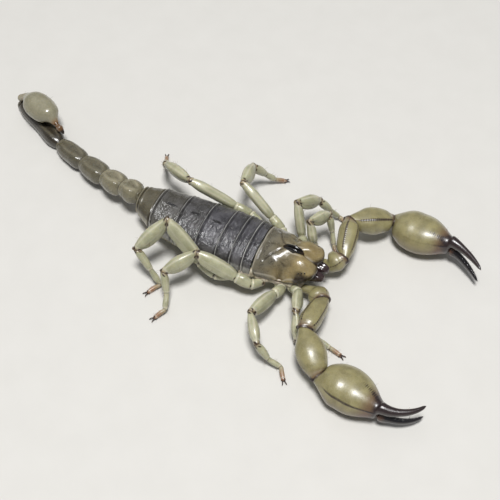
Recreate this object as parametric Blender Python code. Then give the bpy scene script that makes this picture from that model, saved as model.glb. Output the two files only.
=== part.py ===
"""A male desert scorpion at rest, life size, as a still display model.

All sizes are in millimetres and become metres when a mesh is made. X runs forward
along the trunk from the front edge of the carapace, Y to the animal's left, and Z up
from the floor. A heading is an angle in degrees from forward towards the left, and a
rise is an angle above the level. On a limb a swing is a heading measured towards the
limb's own side, so that both sides of the body read alike.
"""

import math
from collections import namedtuple

import bmesh
import bpy
from mathutils import Vector

MM = 0.001
GAP = 0.10  # the thin cut between neighbouring pieces
UP = Vector((0.0, 0.0, 1.0))
SIDES = {"left": 1.0, "right": -1.0}

Finish = namedtuple("Finish", "colour roughness")
OLIVE_SHIELD = Finish((0.20, 0.15, 0.06), 0.30)
GREY_PLATE = Finish((0.075, 0.07, 0.08), 0.33)
SOFT_SKIN = Finish((0.36, 0.33, 0.22), 0.50)
PALE_CUTICLE = Finish((0.42, 0.40, 0.20), 0.36)
TAIL_CUTICLE = Finish((0.27, 0.25, 0.14), 0.36)
CLAW_CUTICLE = Finish((0.38, 0.36, 0.16), 0.26)
BLACK_HORN = Finish((0.012, 0.008, 0.010), 0.16)
AMBER_HORN = Finish((0.23, 0.10, 0.03), 0.20)

# --- trunk -----------------------------------------------------------------------
CARAPACE_LENGTH = 8.3
CARAPACE_HALF_WIDTH = 3.90
CARAPACE_NARROWING = 0.36  # share of that width lost towards the front
CARAPACE_EDGE_REAR = 3.14  # height of the lower edge at the rear
CARAPACE_EDGE_RISE = 0.03  # that edge climbs this much per millimetre forward
CARAPACE_EDGE_SWEEP = (-4.2, 0.9)  # from here it sweeps up by this much to the front
CARAPACE_LIP = 0.22
CREST_HEIGHT = 5.85
LOBE_CENTRE = 1.00  # how far each front lobe stands from the middle
LOBE_START = -3.40
LOBE_FRONT = -0.80
FRONT_NOTCH = -1.35
EYE_CENTRE = (-4.30, 0.23, 0.0)
EYE_SIZE = (1.20, 0.18, 0.28)  # half length, half width and height of one eye dome
TERGITE_LENGTHS = (1.4, 1.6, 1.9, 2.8, 3.3, 3.5, 2.6)
TERGITE_HALF_WIDTHS = (3.72, 3.80, 3.86, 3.88, 3.80, 3.50, 2.95, 1.75)
TERGITE_CRESTS = (5.40, 5.45, 5.50, 5.50, 5.45, 5.25, 4.90, 4.45)
TERGITE_EDGES = (3.10, 3.05, 3.00, 2.95, 2.90, 2.85, 2.80, 2.90)
TERGITE_THICKNESS = 0.50
TERGITE_LIP = 0.10  # each rear edge stands this much over the next front edge
TRUNK_BEND_START = 14.5
TRUNK_BEND = 0.0058  # the rear trunk curves to the left as a parabola
BELLY_FLOOR = 1.30
BELLY_WAIST = 2.45  # half width of the underside between the rear hips
PECTEN_ROOT = (-10.9, 0.55, 0.92)

# --- tail ------------------------------------------------------------------------
TAIL_ROOT_HEIGHT = 3.90
TAIL_ROOT_GAP = 0.14  # from the last back plate to the first ring
TailRing = namedtuple("TailRing", "length heading rise half_width half_depth")
TAIL_RINGS = (
    TailRing(2.9, 168, -13, 1.40, 1.28),
    TailRing(3.6, 164, -12, 1.40, 1.26),
    TailRing(4.4, 161, -10, 1.36, 1.22),
    TailRing(5.2, 159, -8, 1.20, 1.14),
    TailRing(10.0, 154.5, -1, 0.98, 0.98),
)
VESICLE_LENGTH = 4.9
VESICLE_HALF_WIDTH = 1.86
VESICLE_NECK = 1.3  # the last part of the bulb, which bends down to the sting
NECK_RISE = -27
VESICLE_HALF_DEPTH = 1.66
VESICLE_HEADING = -20
VESICLE_OFFSET = (2.15, 0.10, 1.45)  # of the bulb from its hinge: forward, left and up
STING_LENGTH = 1.7

# --- mouth parts and pincers -----------------------------------------------------
CHELICERA_ROOT = (-2.70, 0.74, 2.80)
PALP_ROOT = Vector((-2.00, 2.15, 2.10))
PALP_HIP = Vector((-0.45, 2.15, 2.15))
TROCHANTER_LENGTH = 2.08
PALP_FEMUR_LENGTH = 5.0
PALP_FEMUR_SIZE = (1.20, 1.15)
PALP_PATELLA_LENGTH = 5.7
PALP_PATELLA_SIZE = (1.66, 1.42)
PALM_LENGTHS = (3.3, 4.7)  # from the wrist to the widest place, and on to the fingers
PALM_HALF_WIDTH = 2.68
PALM_HALF_HEIGHT = 2.25
PALM_PROFILE = (
    (0, 0.0, 0.28, 0.28),
    (0, 0.18, 0.55, 0.55),
    (0, 0.52, 0.88, 0.88),
    (1, 0.0, 1.0, 1.0),
    (1, 0.40, 0.91, 0.92),
    (1, 0.72, 0.61, 0.70),
    (1, 0.94, 0.31, 0.46),
)
FINGER_LENGTH = 5.1
FINGER_STEPS = 6
FIXED_FINGER_LIFT = 0.68  # above the palm's middle line
MOVING_FINGER_DROP = 0.84  # below it
MOVING_FINGER_FALL = -9  # rise of the movable finger, which stands a little open
PalpPose = namedtuple("PalpPose", "trochanter femur patella palm palm_end finger")
PALP_POSES = {
    "left": PalpPose((43, 29), (102, 8), (38, -14), -5, (-7, 9), (-17, -28)),
    "right": PalpPose((39, 22), (93, 10), (50, -12), -4, (14, 4), (2, -60)),
}

# --- legs ------------------------------------------------------------------------
LegSize = namedtuple("LegSize", "root hip lengths half_depth")
LEG_SIZES = (
    LegSize((-3.70, 2.40, 1.95), (-3.00, 2.85, 2.28), (1.30, 2.9, 3.3, 2.4, 1.7, 1.6), 0.93),
    LegSize((-4.95, 2.80, 2.00), (-4.20, 3.55, 2.35), (1.45, 4.4, 3.9, 2.4, 1.8, 1.7), 0.95),
    LegSize((-6.70, 3.35, 2.10), (-7.80, 4.50, 2.40), (2.00, 5.4, 4.4, 2.6, 2.0, 1.7), 1.03),
    LegSize((-9.70, 3.75, 2.05), (-12.30, 5.00, 2.35), (2.30, 6.4, 5.1, 3.1, 2.2, 1.9), 1.04),
)
LegPose = namedtuple("LegPose", "trochanter femur patella tibia basitarsus foot_swing")
LEG_POSES = {
    "left": (
        LegPose((103, 32), (139, 63), (63, -20), (-38, -64), (-49, -58), -49),
        LegPose((128, -6), (130, 56), (57, -29), (28, -54), (27, -50), -8),
        LegPose((159, 26), (164, 31), (98, -21), (44, -51), (41, -48), 37),
        LegPose((186, 22), (189, 27), (156, -15), (124, -51), (123, -47), 116),
    ),
    "right": (
        LegPose((32, 29), (72, 4), (61, -42), (-26, -1), (3, -15), 13),
        LegPose((106, 16), (104, 15), (54, -8), (5, -53), (-2, -28), 53),
        LegPose((172, 20), (175, 25), (130, -17), (55, -55), (72, -37), 118),
        LegPose((190, 20), (191, 42), (126, -35), (16, -50), (18, -48), 118),
    ),
}
LEG_THINNESS = 0.66  # a leg piece is this wide for its depth
FOOT_HALF_DEPTH = 0.30
FOOT_SINK = 0.06  # how much of each resting surface is cut flat by the floor
FEMUR_LEAN = 25  # the upper edge of a femur leans this much towards the trunk
PATELLA_LEAN = 12

Station = namedtuple("Station", "link t half_width half_depth")


# --- meshes ----------------------------------------------------------------------
def clear_scene():
    """Remove whatever objects the file holds."""
    for old in list(bpy.data.objects):
        bpy.data.objects.remove(old, do_unlink=True)


def material_for(name, finish):
    """Give one piece its own Principled material."""
    material = bpy.data.materials.new(name + "_finish")
    material.use_nodes = True
    shader = material.node_tree.nodes["Principled BSDF"]
    shader.inputs["Base Color"].default_value = (*finish.colour, 1.0)
    shader.inputs["Roughness"].default_value = finish.roughness
    shader.inputs["Metallic"].default_value = 0.0
    return material


def add_piece(name, shape, finish, parts):
    """Turn a bmesh in millimetres into a named piece in metres."""
    bmesh.ops.remove_doubles(shape, verts=shape.verts, dist=0.001)
    bmesh.ops.recalc_face_normals(shape, faces=shape.faces)
    bmesh.ops.scale(shape, vec=(MM, MM, MM), verts=shape.verts)
    mesh = bpy.data.meshes.new(name)
    shape.to_mesh(mesh)
    shape.free()
    mesh.shade_smooth()
    mesh.set_sharp_from_angle(angle=math.radians(50))
    mesh.materials.append(material_for(name, finish))
    piece = bpy.data.objects.new(name, mesh)
    parts.objects.link(piece)
    return piece


def loft(rings):
    """Join rings of equal count into one closed body."""
    shape = bmesh.new()
    loops = [[shape.verts.new(point) for point in ring] for ring in rings]
    count = len(loops[0])
    for near, far in zip(loops, loops[1:]):
        for i in range(count):
            j = (i + 1) % count
            shape.faces.new((near[i], near[j], far[j], far[i]))
    shape.faces.new(list(reversed(loops[0])))
    shape.faces.new(loops[-1])
    return shape


def cut_at_floor(shape):
    """Cut away what would sink into the floor and close the flat that is left."""
    geometry = shape.verts[:] + shape.edges[:] + shape.faces[:]
    bmesh.ops.bisect_plane(
        shape, geom=geometry, dist=0.001, plane_co=(0, 0, 0), plane_no=UP, clear_inner=True
    )
    rim = [edge for edge in shape.edges if edge.is_boundary]
    bmesh.ops.holes_fill(shape, edges=rim, sides=0)


# --- directions and paths --------------------------------------------------------
def direction(heading, rise):
    """Unit vector for a heading and a rise in degrees."""
    h = math.radians(heading)
    r = math.radians(rise)
    return Vector((math.cos(r) * math.cos(h), math.cos(r) * math.sin(h), math.sin(r)))


def across(heading):
    """Level unit vector to the left of a heading."""
    h = math.radians(heading)
    return Vector((-math.sin(h), math.cos(h), 0.0))


class Path:
    """A chain of straight links through a limb's joints."""

    def __init__(self, start):
        self.joints = [Vector(start)]
        self.axes = []
        self.lefts = []

    def go(self, length, heading, rise):
        """Add a link of the given length."""
        self.axes.append(direction(heading, rise))
        self.lefts.append(across(heading))
        self.joints.append(self.joints[-1] + self.axes[-1] * length)
        return self

    def go_to(self, point):
        """Add a link that ends at a point."""
        span = Vector(point) - self.joints[-1]
        heading = math.degrees(math.atan2(span.y, span.x))
        rise = math.degrees(math.asin(span.z / span.length))
        return self.go(span.length, heading, rise)

    def go_down_to(self, length, heading, height):
        """Add a link of the given length whose far end is at a height."""
        rise = math.degrees(math.asin((height - self.joints[-1].z) / length))
        return self.go(length, heading, rise)

    def go_to_floor(self, length, heading, half_depth):
        """Add a link whose far end, of the given half depth, rests on the floor."""
        slope = 0.0
        for _ in range(6):
            height = half_depth * math.cos(slope) - FOOT_SINK
            slope = math.asin((height - self.joints[-1].z) / length)
        return self.go(length, heading, math.degrees(slope))

    def frame(self, link, t):
        """Centre, axis and left vector at a place on a link; a joint takes the mean."""
        centre = self.joints[link].lerp(self.joints[link + 1], t)
        axis = self.axes[link]
        left = self.lefts[link]
        beside = link + 1 if t >= 1.0 else link - 1 if t <= 0.0 else link
        if beside != link and 0 <= beside < len(self.axes):
            axis = (axis + self.axes[beside]).normalized()
            left = (left + self.lefts[beside]).normalized()
        return centre, axis, left


def section(centre, axis, left, half_width, half_depth, count, lean=0.0, square=2.0):
    """A ring of points about an axis: an ellipse, or a squarer oval above 2."""
    upright = axis.cross(left).normalized()
    left = upright.cross(axis).normalized()
    tilt = math.radians(lean)
    deep = upright * math.cos(tilt) + left * math.sin(tilt)
    wide = left * math.cos(tilt) - upright * math.sin(tilt)
    ring = []
    for i in range(count):
        angle = 2.0 * math.pi * (i + 0.5) / count
        c, s = math.cos(angle), math.sin(angle)
        reach = (abs(c) ** square + abs(s) ** square) ** (-1.0 / square)
        ring.append(centre + wide * (half_width * c * reach) + deep * (half_depth * s * reach))
    return ring


def mitre(ring, centre, axis, other_axis, outward):
    """Slide an end ring along its own axis onto the plane that halves the bend."""
    normal = (axis + other_axis).normalized()
    slope = axis.dot(normal)
    flat = []
    for point in ring:
        off = (point - centre).dot(normal)
        flat.append(point - axis * ((off + outward * GAP / 2.0) / slope))
    return flat


def limb_shape(path, stations, count, lean=0.0, square=2.0, before=None, after=None):
    """Loft a path through its stations, mitred against the pieces before and after."""
    rings = []
    for station in stations:
        centre, axis, left = path.frame(station.link, station.t)
        size = (station.half_width, station.half_depth)
        rings.append(section(centre, axis, left, *size, count, lean, square))
    if before is not None:
        rings[0] = mitre(rings[0], path.joints[0], path.axes[0], before, -1.0)
    if after is not None:
        rings[-1] = mitre(rings[-1], path.joints[-1], path.axes[-1], after, 1.0)
    return loft(rings)


def mirrored(point, side):
    """The same place on the given side of the body."""
    return Vector((point[0], point[1] * side, point[2]))


# --- carapace and eyes -----------------------------------------------------------
def carapace_edge(x):
    """Height of the carapace's lower edge, which sweeps up under the front lobes."""
    start, sweep = CARAPACE_EDGE_SWEEP
    front = max(0.0, (x - start) / (LOBE_FRONT - start))
    climb = CARAPACE_EDGE_RISE * (x + CARAPACE_LENGTH)
    return CARAPACE_EDGE_REAR + climb + sweep * front**1.5


def carapace_half_width(x):
    """Half width of the carapace, narrower towards the front."""
    along = min(max(-x / CARAPACE_LENGTH, 0.0), 1.0)
    return CARAPACE_HALF_WIDTH * (1.0 - CARAPACE_NARROWING * (1.0 - along) ** 1.2)


def carapace_top(x, y):
    """Height of the carapace's upper surface: a vault with two front lobes and a groove."""
    half = carapace_half_width(x)
    edge = carapace_edge(x) + CARAPACE_LIP
    rear_fall = 0.45 * max(0.0, (-x - 4.5) / (CARAPACE_LENGTH - 4.5)) ** 2
    front_fall = 0.55 * max(0.0, (x + 3.6) / 3.6) ** 2
    crest = CREST_HEIGHT - rear_fall - front_fall
    reach = min(abs(y) / half, 1.0)
    lobes = min(1.0, max(0.0, (x + 4.4) / 1.2))
    vault = (crest - edge) * (1.0 - reach ** (2.4 + lobes)) ** 0.75
    ahead = max(0.0, (x + 2.9) / (LOBE_FRONT + 2.9))
    nose = (1.0 - min(ahead, 1.0) ** 3.6) ** 0.5
    depth = 0.08 + 0.52 * min(1.0, max(0.0, (x + 3.6) / 1.6))
    groove = depth * math.exp(-((y / 0.46) ** 2))
    crease = 0.34 * reach * math.exp(-(((x + 4.75) / 0.5) ** 2))
    return edge + max(0.0, (vault - groove - crease) * nose)


def carapace_outline(steps_side=7, steps_lobe=6, steps_notch=2):
    """Left half of the plan outline, from the rear middle to the front notch."""
    rear = -CARAPACE_LENGTH
    corner = 0.7
    points = [Vector((rear + 0.12, 0.0)), Vector((rear + 0.05, CARAPACE_HALF_WIDTH * 0.5))]
    points.append(Vector((rear + 0.15, carapace_half_width(rear) - corner * 0.75)))
    for i in range(steps_side):
        x = rear + corner + (LOBE_START - 0.45 - rear - corner) * i / (steps_side - 1)
        points.append(Vector((x, carapace_half_width(x))))
    wide = carapace_half_width(LOBE_START) - LOBE_CENTRE
    for i in range(steps_lobe + 1):
        angle = math.pi / 2.0 * i / steps_lobe
        x = LOBE_START + (LOBE_FRONT - LOBE_START) * math.sin(angle)
        points.append(Vector((x, LOBE_CENTRE + wide * math.cos(angle) ** 1.1)))
    for i in range(1, steps_notch + 2):
        t = i / (steps_notch + 1)
        x = LOBE_FRONT + (FRONT_NOTCH - LOBE_FRONT) * t * t
        points.append(Vector((x, LOBE_CENTRE * (1.0 - t))))
    return points


def make_carapace(parts):
    """The head shield: rings drawn in from the plan outline towards the middle line."""
    left = carapace_outline()
    right = [Vector((p.x, -p.y)) for p in reversed(left[1:-1])]
    outline = left + right
    shape = bmesh.new()
    base = [shape.verts.new((p.x, p.y, carapace_edge(p.x))) for p in outline]
    shape.faces.new(list(reversed(base)))
    loops = [base]
    for pull in (0.0, 0.05, 0.16, 0.36, 0.66, 1.0):
        loop = []
        for p in outline:
            spine_x = min(max(p.x, 1.2 - CARAPACE_LENGTH), -1.9)
            x = p.x + (spine_x - p.x) * pull
            y = p.y * (1.0 - pull)
            top = carapace_top(x, y) if pull > 0.0 else carapace_edge(x) + CARAPACE_LIP
            loop.append(shape.verts.new((x, y, top)))
        loops.append(loop)
    count = len(outline)
    for near, far in zip(loops, loops[1:]):
        for i in range(count):
            j = (i + 1) % count
            shape.faces.new((near[i], near[j], far[j], far[i]))
    bmesh.ops.remove_doubles(shape, verts=shape.verts, dist=0.01)
    bmesh.ops.dissolve_degenerate(shape, edges=shape.edges, dist=0.01)
    add_piece("carapace", shape, OLIVE_SHIELD, parts)


def make_eye(name, side, parts):
    """One half of the eye ridge: a long low dome beside the middle groove."""
    centre = mirrored(EYE_CENTRE, side)
    length, half, height = EYE_SIZE
    rings = []
    for reach, lift in ((0.80, 0.0), (1.0, 0.12), (0.86, 0.24), (0.45, height)):
        ring = []
        for i in range(12):
            angle = 2.0 * math.pi * i / 12
            x = centre.x + length * reach * math.cos(angle)
            y = centre.y + half * reach * math.sin(angle)
            ring.append(Vector((x, y, carapace_top(x, y) + GAP + lift)))
        rings.append(ring)
    add_piece(name, loft(rings), BLACK_HORN, parts)


# --- trunk behind the carapace ---------------------------------------------------
def trunk_middle(x):
    """Sideways place of the trunk's middle line."""
    return TRUNK_BEND * max(0.0, -x - TRUNK_BEND_START) ** 2


def tergite_starts():
    """Front edge of each tergite, and the rear edge of the last."""
    starts = [-CARAPACE_LENGTH]
    for length in TERGITE_LENGTHS:
        starts.append(starts[-1] - length)
    return starts


def between(values, x):
    """Read a row of values given at the tergite edges at any place along the trunk."""
    starts = tergite_starts()
    for i, (front, rear) in enumerate(zip(starts, starts[1:])):
        if x >= rear or i == len(starts) - 2:
            t = min(max((front - x) / (front - rear), 0.0), 1.0)
            return values[i] * (1.0 - t) + values[i + 1] * t
    return values[-1]


def arch(x, inset, lift, count=11):
    """Points over the back from the left edge to the right edge."""
    half = between(TERGITE_HALF_WIDTHS, x) - inset
    edge = between(TERGITE_EDGES, x)
    crest = between(TERGITE_CRESTS, x) - inset + lift
    points = []
    for i in range(count):
        angle = math.pi * i / (count - 1)
        c, s = math.cos(angle), math.sin(angle)
        y = trunk_middle(x) + half * math.copysign(abs(c) ** 0.85, c)
        points.append(Vector((x, y, edge + (crest - edge) * s**0.85)))
    return points


def make_tergite(number, front, rear, parts):
    """One back plate: a vaulted shell whose rear edge stands a little proud."""
    length = front - rear
    rings = []
    for x, lift in ((front - GAP / 2, 0.0), (front - length * 0.5, 0.06), (rear + GAP / 2, TERGITE_LIP)):
        outer = arch(x, 0.0, lift)
        inner = arch(x, TERGITE_THICKNESS, lift)
        rings.append(outer + list(reversed(inner)))
    finish = GREY_PLATE if number < 7 else TAIL_CUTICLE
    add_piece(f"tergite_{number}", loft(rings), finish, parts)


def belly_half_width(x):
    """Half width of the underside, drawn in beside the rear hips."""
    hips = min(max((-x - 12.4) / 2.0, 0.0), 1.0)
    full = between(TERGITE_HALF_WIDTHS, x) - 0.15
    return BELLY_WAIST + (full - BELLY_WAIST) * hips * hips * (3.0 - 2.0 * hips)


def make_belly(parts):
    """Soft body and sternites under the back plates, as one closed form."""
    starts = tergite_starts()
    rings = []
    for x in (-9.75, -11.3, -12.6, -13.5, -14.5, -16.0, -19.3, -22.8, starts[-1] + 0.15):
        inset = TERGITE_THICKNESS + GAP * 1.5
        top = arch(x, inset, 0.0, 9)
        edge = between(TERGITE_EDGES, x) - GAP
        fade = min(max((-x - 21.0) / 4.5, 0.0), 1.0)
        floor = BELLY_FLOOR + 1.35 * fade * fade
        half = belly_half_width(x)
        lower = []
        for i in range(9):
            angle = math.pi * i / 8
            c, s = math.cos(angle), math.sin(angle)
            y = trunk_middle(x) - half * math.copysign(abs(c) ** 0.7, c)
            lower.append(Vector((x, y, edge - (edge - floor) * s**0.55)))
        rings.append(top + lower)
    add_piece("belly", loft(rings), SOFT_SKIN, parts)


def make_coxosternum(parts):
    """The plate of hip bases and breastbone under the carapace."""
    rings = []
    for x, half in ((-2.95, 1.45), (-3.6, 1.95), (-5.4, 2.35), (-7.6, 2.75), (-9.6, 2.95)):
        centre = Vector((x, 0.0, (BELLY_FLOOR + carapace_edge(x) - GAP) / 2.0))
        depth = (carapace_edge(x) - GAP - BELLY_FLOOR) / 2.0
        rings.append(section(centre, Vector((-1, 0, 0)), Vector((0, -1, 0)), half, depth, 12, 0, 3.2))
    add_piece("coxosternum", loft(rings), PALE_CUTICLE, parts)


def make_pecten(name, side, parts):
    """One comb under the belly, a flat curved blade that points back and out."""
    path = Path(mirrored(PECTEN_ROOT, side))
    path.go(1.5, side * 125, -2).go(1.7, side * 140, 2)
    stations = (Station(0, 0, 0.28, 0.20), Station(0, 1, 0.46, 0.20), Station(1, 1, 0.30, 0.18))
    add_piece(name, limb_shape(path, stations, 8), PALE_CUTICLE, parts)


# --- mouth parts -----------------------------------------------------------------
def make_chelicera(name, side, parts):
    """One short jaw: a stout base with a hooked tip."""
    path = Path(mirrored(CHELICERA_ROOT, side))
    path.go(1.9, -side * 1, 17).go(0.70, -side * 4, -16).go(0.50, -side * 12, -58)
    stations = (
        Station(0, 0.00, 0.60, 0.52),
        Station(0, 0.35, 0.70, 0.66),
        Station(0, 0.85, 0.68, 0.68),
        Station(1, 0.40, 0.60, 0.58),
        Station(2, 0.00, 0.46, 0.42),
        Station(2, 1.00, 0.18, 0.18),
    )
    add_piece(name, limb_shape(path, stations, 10, square=2.4), BLACK_HORN, parts)


# --- tail ------------------------------------------------------------------------
def make_tail(parts):
    """Five tail rings and the folded telson."""
    root_x = tergite_starts()[-1] - TAIL_ROOT_GAP
    path = Path((root_x, trunk_middle(root_x), TAIL_ROOT_HEIGHT))
    for ring in TAIL_RINGS:
        path.go(ring.length, ring.heading, ring.rise)
    for i, ring in enumerate(TAIL_RINGS):
        link = Path(path.joints[i]).go(ring.length, ring.heading, ring.rise)
        w, d = ring.half_width, ring.half_depth
        shoulder = 0.45 / ring.length
        stations = (
            Station(0, 0.0, w * 0.66, d * 0.70),
            Station(0, shoulder, w * 0.87, d * 0.90),
            Station(0, 0.48, w, d),
            Station(0, 1.0 - 1.7 * shoulder, w * 0.93, d * 0.95),
            Station(0, 1.0 - 0.5 * shoulder, w * 0.79, d * 0.83),
            Station(0, 1.0, w * 0.66, d * 0.72),
        )
        before = path.axes[i - 1] if i else path.axes[0]
        after = path.axes[i + 1] if i + 1 < len(TAIL_RINGS) else path.axes[i]
        shape = limb_shape(link, stations, 12, square=2.5, before=before, after=after)
        cut_at_floor(shape)
        add_piece(f"tail_{i + 1}", shape, TAIL_CUTICLE, parts)
    make_telson(path, parts)


def make_telson(tail, parts):
    """Bulb and sting, folded forward on top of the last tail ring."""
    last = TAIL_RINGS[-1]
    ahead = direction(VESICLE_HEADING, 0) * VESICLE_OFFSET[0]
    beside = across(VESICLE_HEADING) * VESICLE_OFFSET[1]
    root = tail.joints[-1] + UP * (last.half_depth + GAP * 2.0) + tail.axes[-1] * 0.10
    height = tail.joints[-1].z + last.half_depth + VESICLE_HALF_DEPTH + GAP * 2.0
    bulb = Path(root).go_to(root + ahead + beside + UP * VESICLE_OFFSET[2])
    bulb.go_down_to(VESICLE_LENGTH, VESICLE_HEADING, height)
    bulb.go(VESICLE_NECK, VESICLE_HEADING - 6, NECK_RISE)
    w, d = VESICLE_HALF_WIDTH, VESICLE_HALF_DEPTH
    stations = [Station(0, 0.0, 0.45, 0.42), Station(1, 0.0, 0.86, 0.72)]
    profile = ((0.15, 0.80), (0.34, 0.97), (0.56, 1.0), (0.80, 0.91), (1.0, 0.68))
    stations += [Station(1, t, w * size, d * size) for t, size in profile]
    stations += [Station(2, t, w * size, d * size) for t, size in ((0.5, 0.38), (1.0, 0.21))]
    add_piece("telson_vesicle", limb_shape(bulb, stations, 14), TAIL_CUTICLE, parts)
    sting = Path(bulb.joints[-1] + bulb.axes[-1] * GAP)
    for rise in (NECK_RISE, NECK_RISE + 6, NECK_RISE + 2, NECK_RISE - 6):
        sting.go(STING_LENGTH / 4.0, VESICLE_HEADING, rise)
    girth = ((0, 0.0, 0.30), (0, 1.0, 0.34), (1, 0.6, 0.40), (2, 1.0, 0.26), (3, 1.0, 0.10))
    stations = [Station(link, t, size, size) for link, t, size in girth]
    add_piece("sting", limb_shape(sting, stations, 8), AMBER_HORN, parts)


# --- pincers ---------------------------------------------------------------------
def profile_stations(profile, half_width, half_depth):
    """Stations on a one-link path from pairs of place and relative size."""
    return [Station(0, t, half_width * size, half_depth * size) for t, size in profile]


def arc(start, heading, rise, length, turn, steps):
    """A path that turns evenly as it goes."""
    path = Path(start)
    for i in range(steps):
        path.go(length / steps, heading + turn * (i + 0.5) / steps, rise)
    return path


def finger_rings(path, half_width, half_depth, count):
    """Rings along a finger that tapers to its tip."""
    steps = len(path.axes)
    rings = []
    for i in range(steps):
        t = (i + 1) / steps
        size = 1.0 - 0.70 * t**1.8
        centre, axis, left = path.frame(i, 1.0)
        rings.append(section(centre, axis, left, half_width * size, half_depth * size, count))
    return rings


def make_palp(name, side, parts):
    """One pincer arm, from the hip under the carapace to the finger tips."""
    pose = PALP_POSES[name]
    path = Path(mirrored(PALP_ROOT, side)).go_to(mirrored(PALP_HIP, side))
    path.go(TROCHANTER_LENGTH, side * pose.trochanter[0], pose.trochanter[1])
    path.go(PALP_FEMUR_LENGTH, side * pose.femur[0], pose.femur[1])
    path.go(PALP_PATELLA_LENGTH, side * pose.patella[0], pose.patella[1])
    rear, front = PALM_LENGTHS
    palm = Path(path.joints[-1]).go_to_floor(rear, side * pose.palm, PALM_HALF_HEIGHT)
    palm.go(front, side * pose.palm_end[0], pose.palm_end[1])
    hip = Path(path.joints[0]).go_to(path.joints[1]).go_to(path.joints[2])
    stations = (
        Station(0, 0.0, 0.50, 0.52),
        Station(0, 0.75, 0.66, 0.68),
        Station(1, 0.0, 0.86, 0.84),
        Station(1, 0.30, 1.24, 1.14),
        Station(1, 0.60, 1.28, 1.18),
        Station(1, 1.0, 0.76, 0.82),
    )
    shape = limb_shape(hip, stations, 12, after=path.axes[2])
    add_piece(f"palp_{name}_trochanter", shape, PALE_CUTICLE, parts)
    femur = Path(path.joints[2]).go(PALP_FEMUR_LENGTH, side * pose.femur[0], pose.femur[1])
    profile = ((0.0, 0.58), (0.17, 0.86), (0.45, 1.0), (0.78, 1.0), (0.87, 0.90), (1.0, 0.58))
    stations = profile_stations(profile, *PALP_FEMUR_SIZE)
    shape = limb_shape(femur, stations, 12, 0, 2.4, before=path.axes[1], after=path.axes[3])
    add_piece(f"palp_{name}_femur", shape, PALE_CUTICLE, parts)
    patella = Path(path.joints[3]).go(PALP_PATELLA_LENGTH, side * pose.patella[0], pose.patella[1])
    profile = ((0.0, 0.40), (0.17, 0.73), (0.38, 1.02), (0.68, 0.98), (0.88, 0.72), (1.0, 0.40))
    stations = profile_stations(profile, *PALP_PATELLA_SIZE)
    shape = limb_shape(patella, stations, 12, 0, 2.2, before=path.axes[2], after=palm.axes[0])
    add_piece(f"palp_{name}_patella", shape, PALE_CUTICLE, parts)
    make_claw(name, side, palm, path.axes[3], parts)


def make_claw(name, side, palm, before, parts):
    """The swollen palm with its fixed finger, and the movable finger below that."""
    swing, turn = (side * angle for angle in PALP_POSES[name].finger)
    rings = []
    for link, t, wide, deep in PALM_PROFILE:
        centre, axis, left = palm.frame(link, t)
        size = (PALM_HALF_WIDTH * wide, PALM_HALF_HEIGHT * deep)
        rings.append(section(centre, axis, left, *size, 14))
    rings[0] = mitre(rings[0], palm.joints[0], palm.axes[0], before, -1.0)
    end, axis, left = palm.frame(1, 1.0)
    fixed = arc(end + UP * FIXED_FINGER_LIFT, swing, 2, FINGER_LENGTH, turn, FINGER_STEPS)
    first = section(fixed.joints[0], axis, left, 0.56, 0.58, 14)
    shape = loft(rings + [first] + finger_rings(fixed, 0.50, 0.54, 14))
    cut_at_floor(shape)
    add_piece(f"palp_{name}_palm", shape, CLAW_CUTICLE, parts)
    start = end - UP * MOVING_FINGER_DROP + axis * GAP
    moving = arc(start, swing, MOVING_FINGER_FALL, FINGER_LENGTH, turn, FINGER_STEPS)
    first = section(moving.joints[0], axis, left, 0.50, 0.52, 10)
    shape = loft([first] + finger_rings(moving, 0.45, 0.48, 10))
    add_piece(f"palp_{name}_finger", shape, BLACK_HORN, parts)


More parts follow.
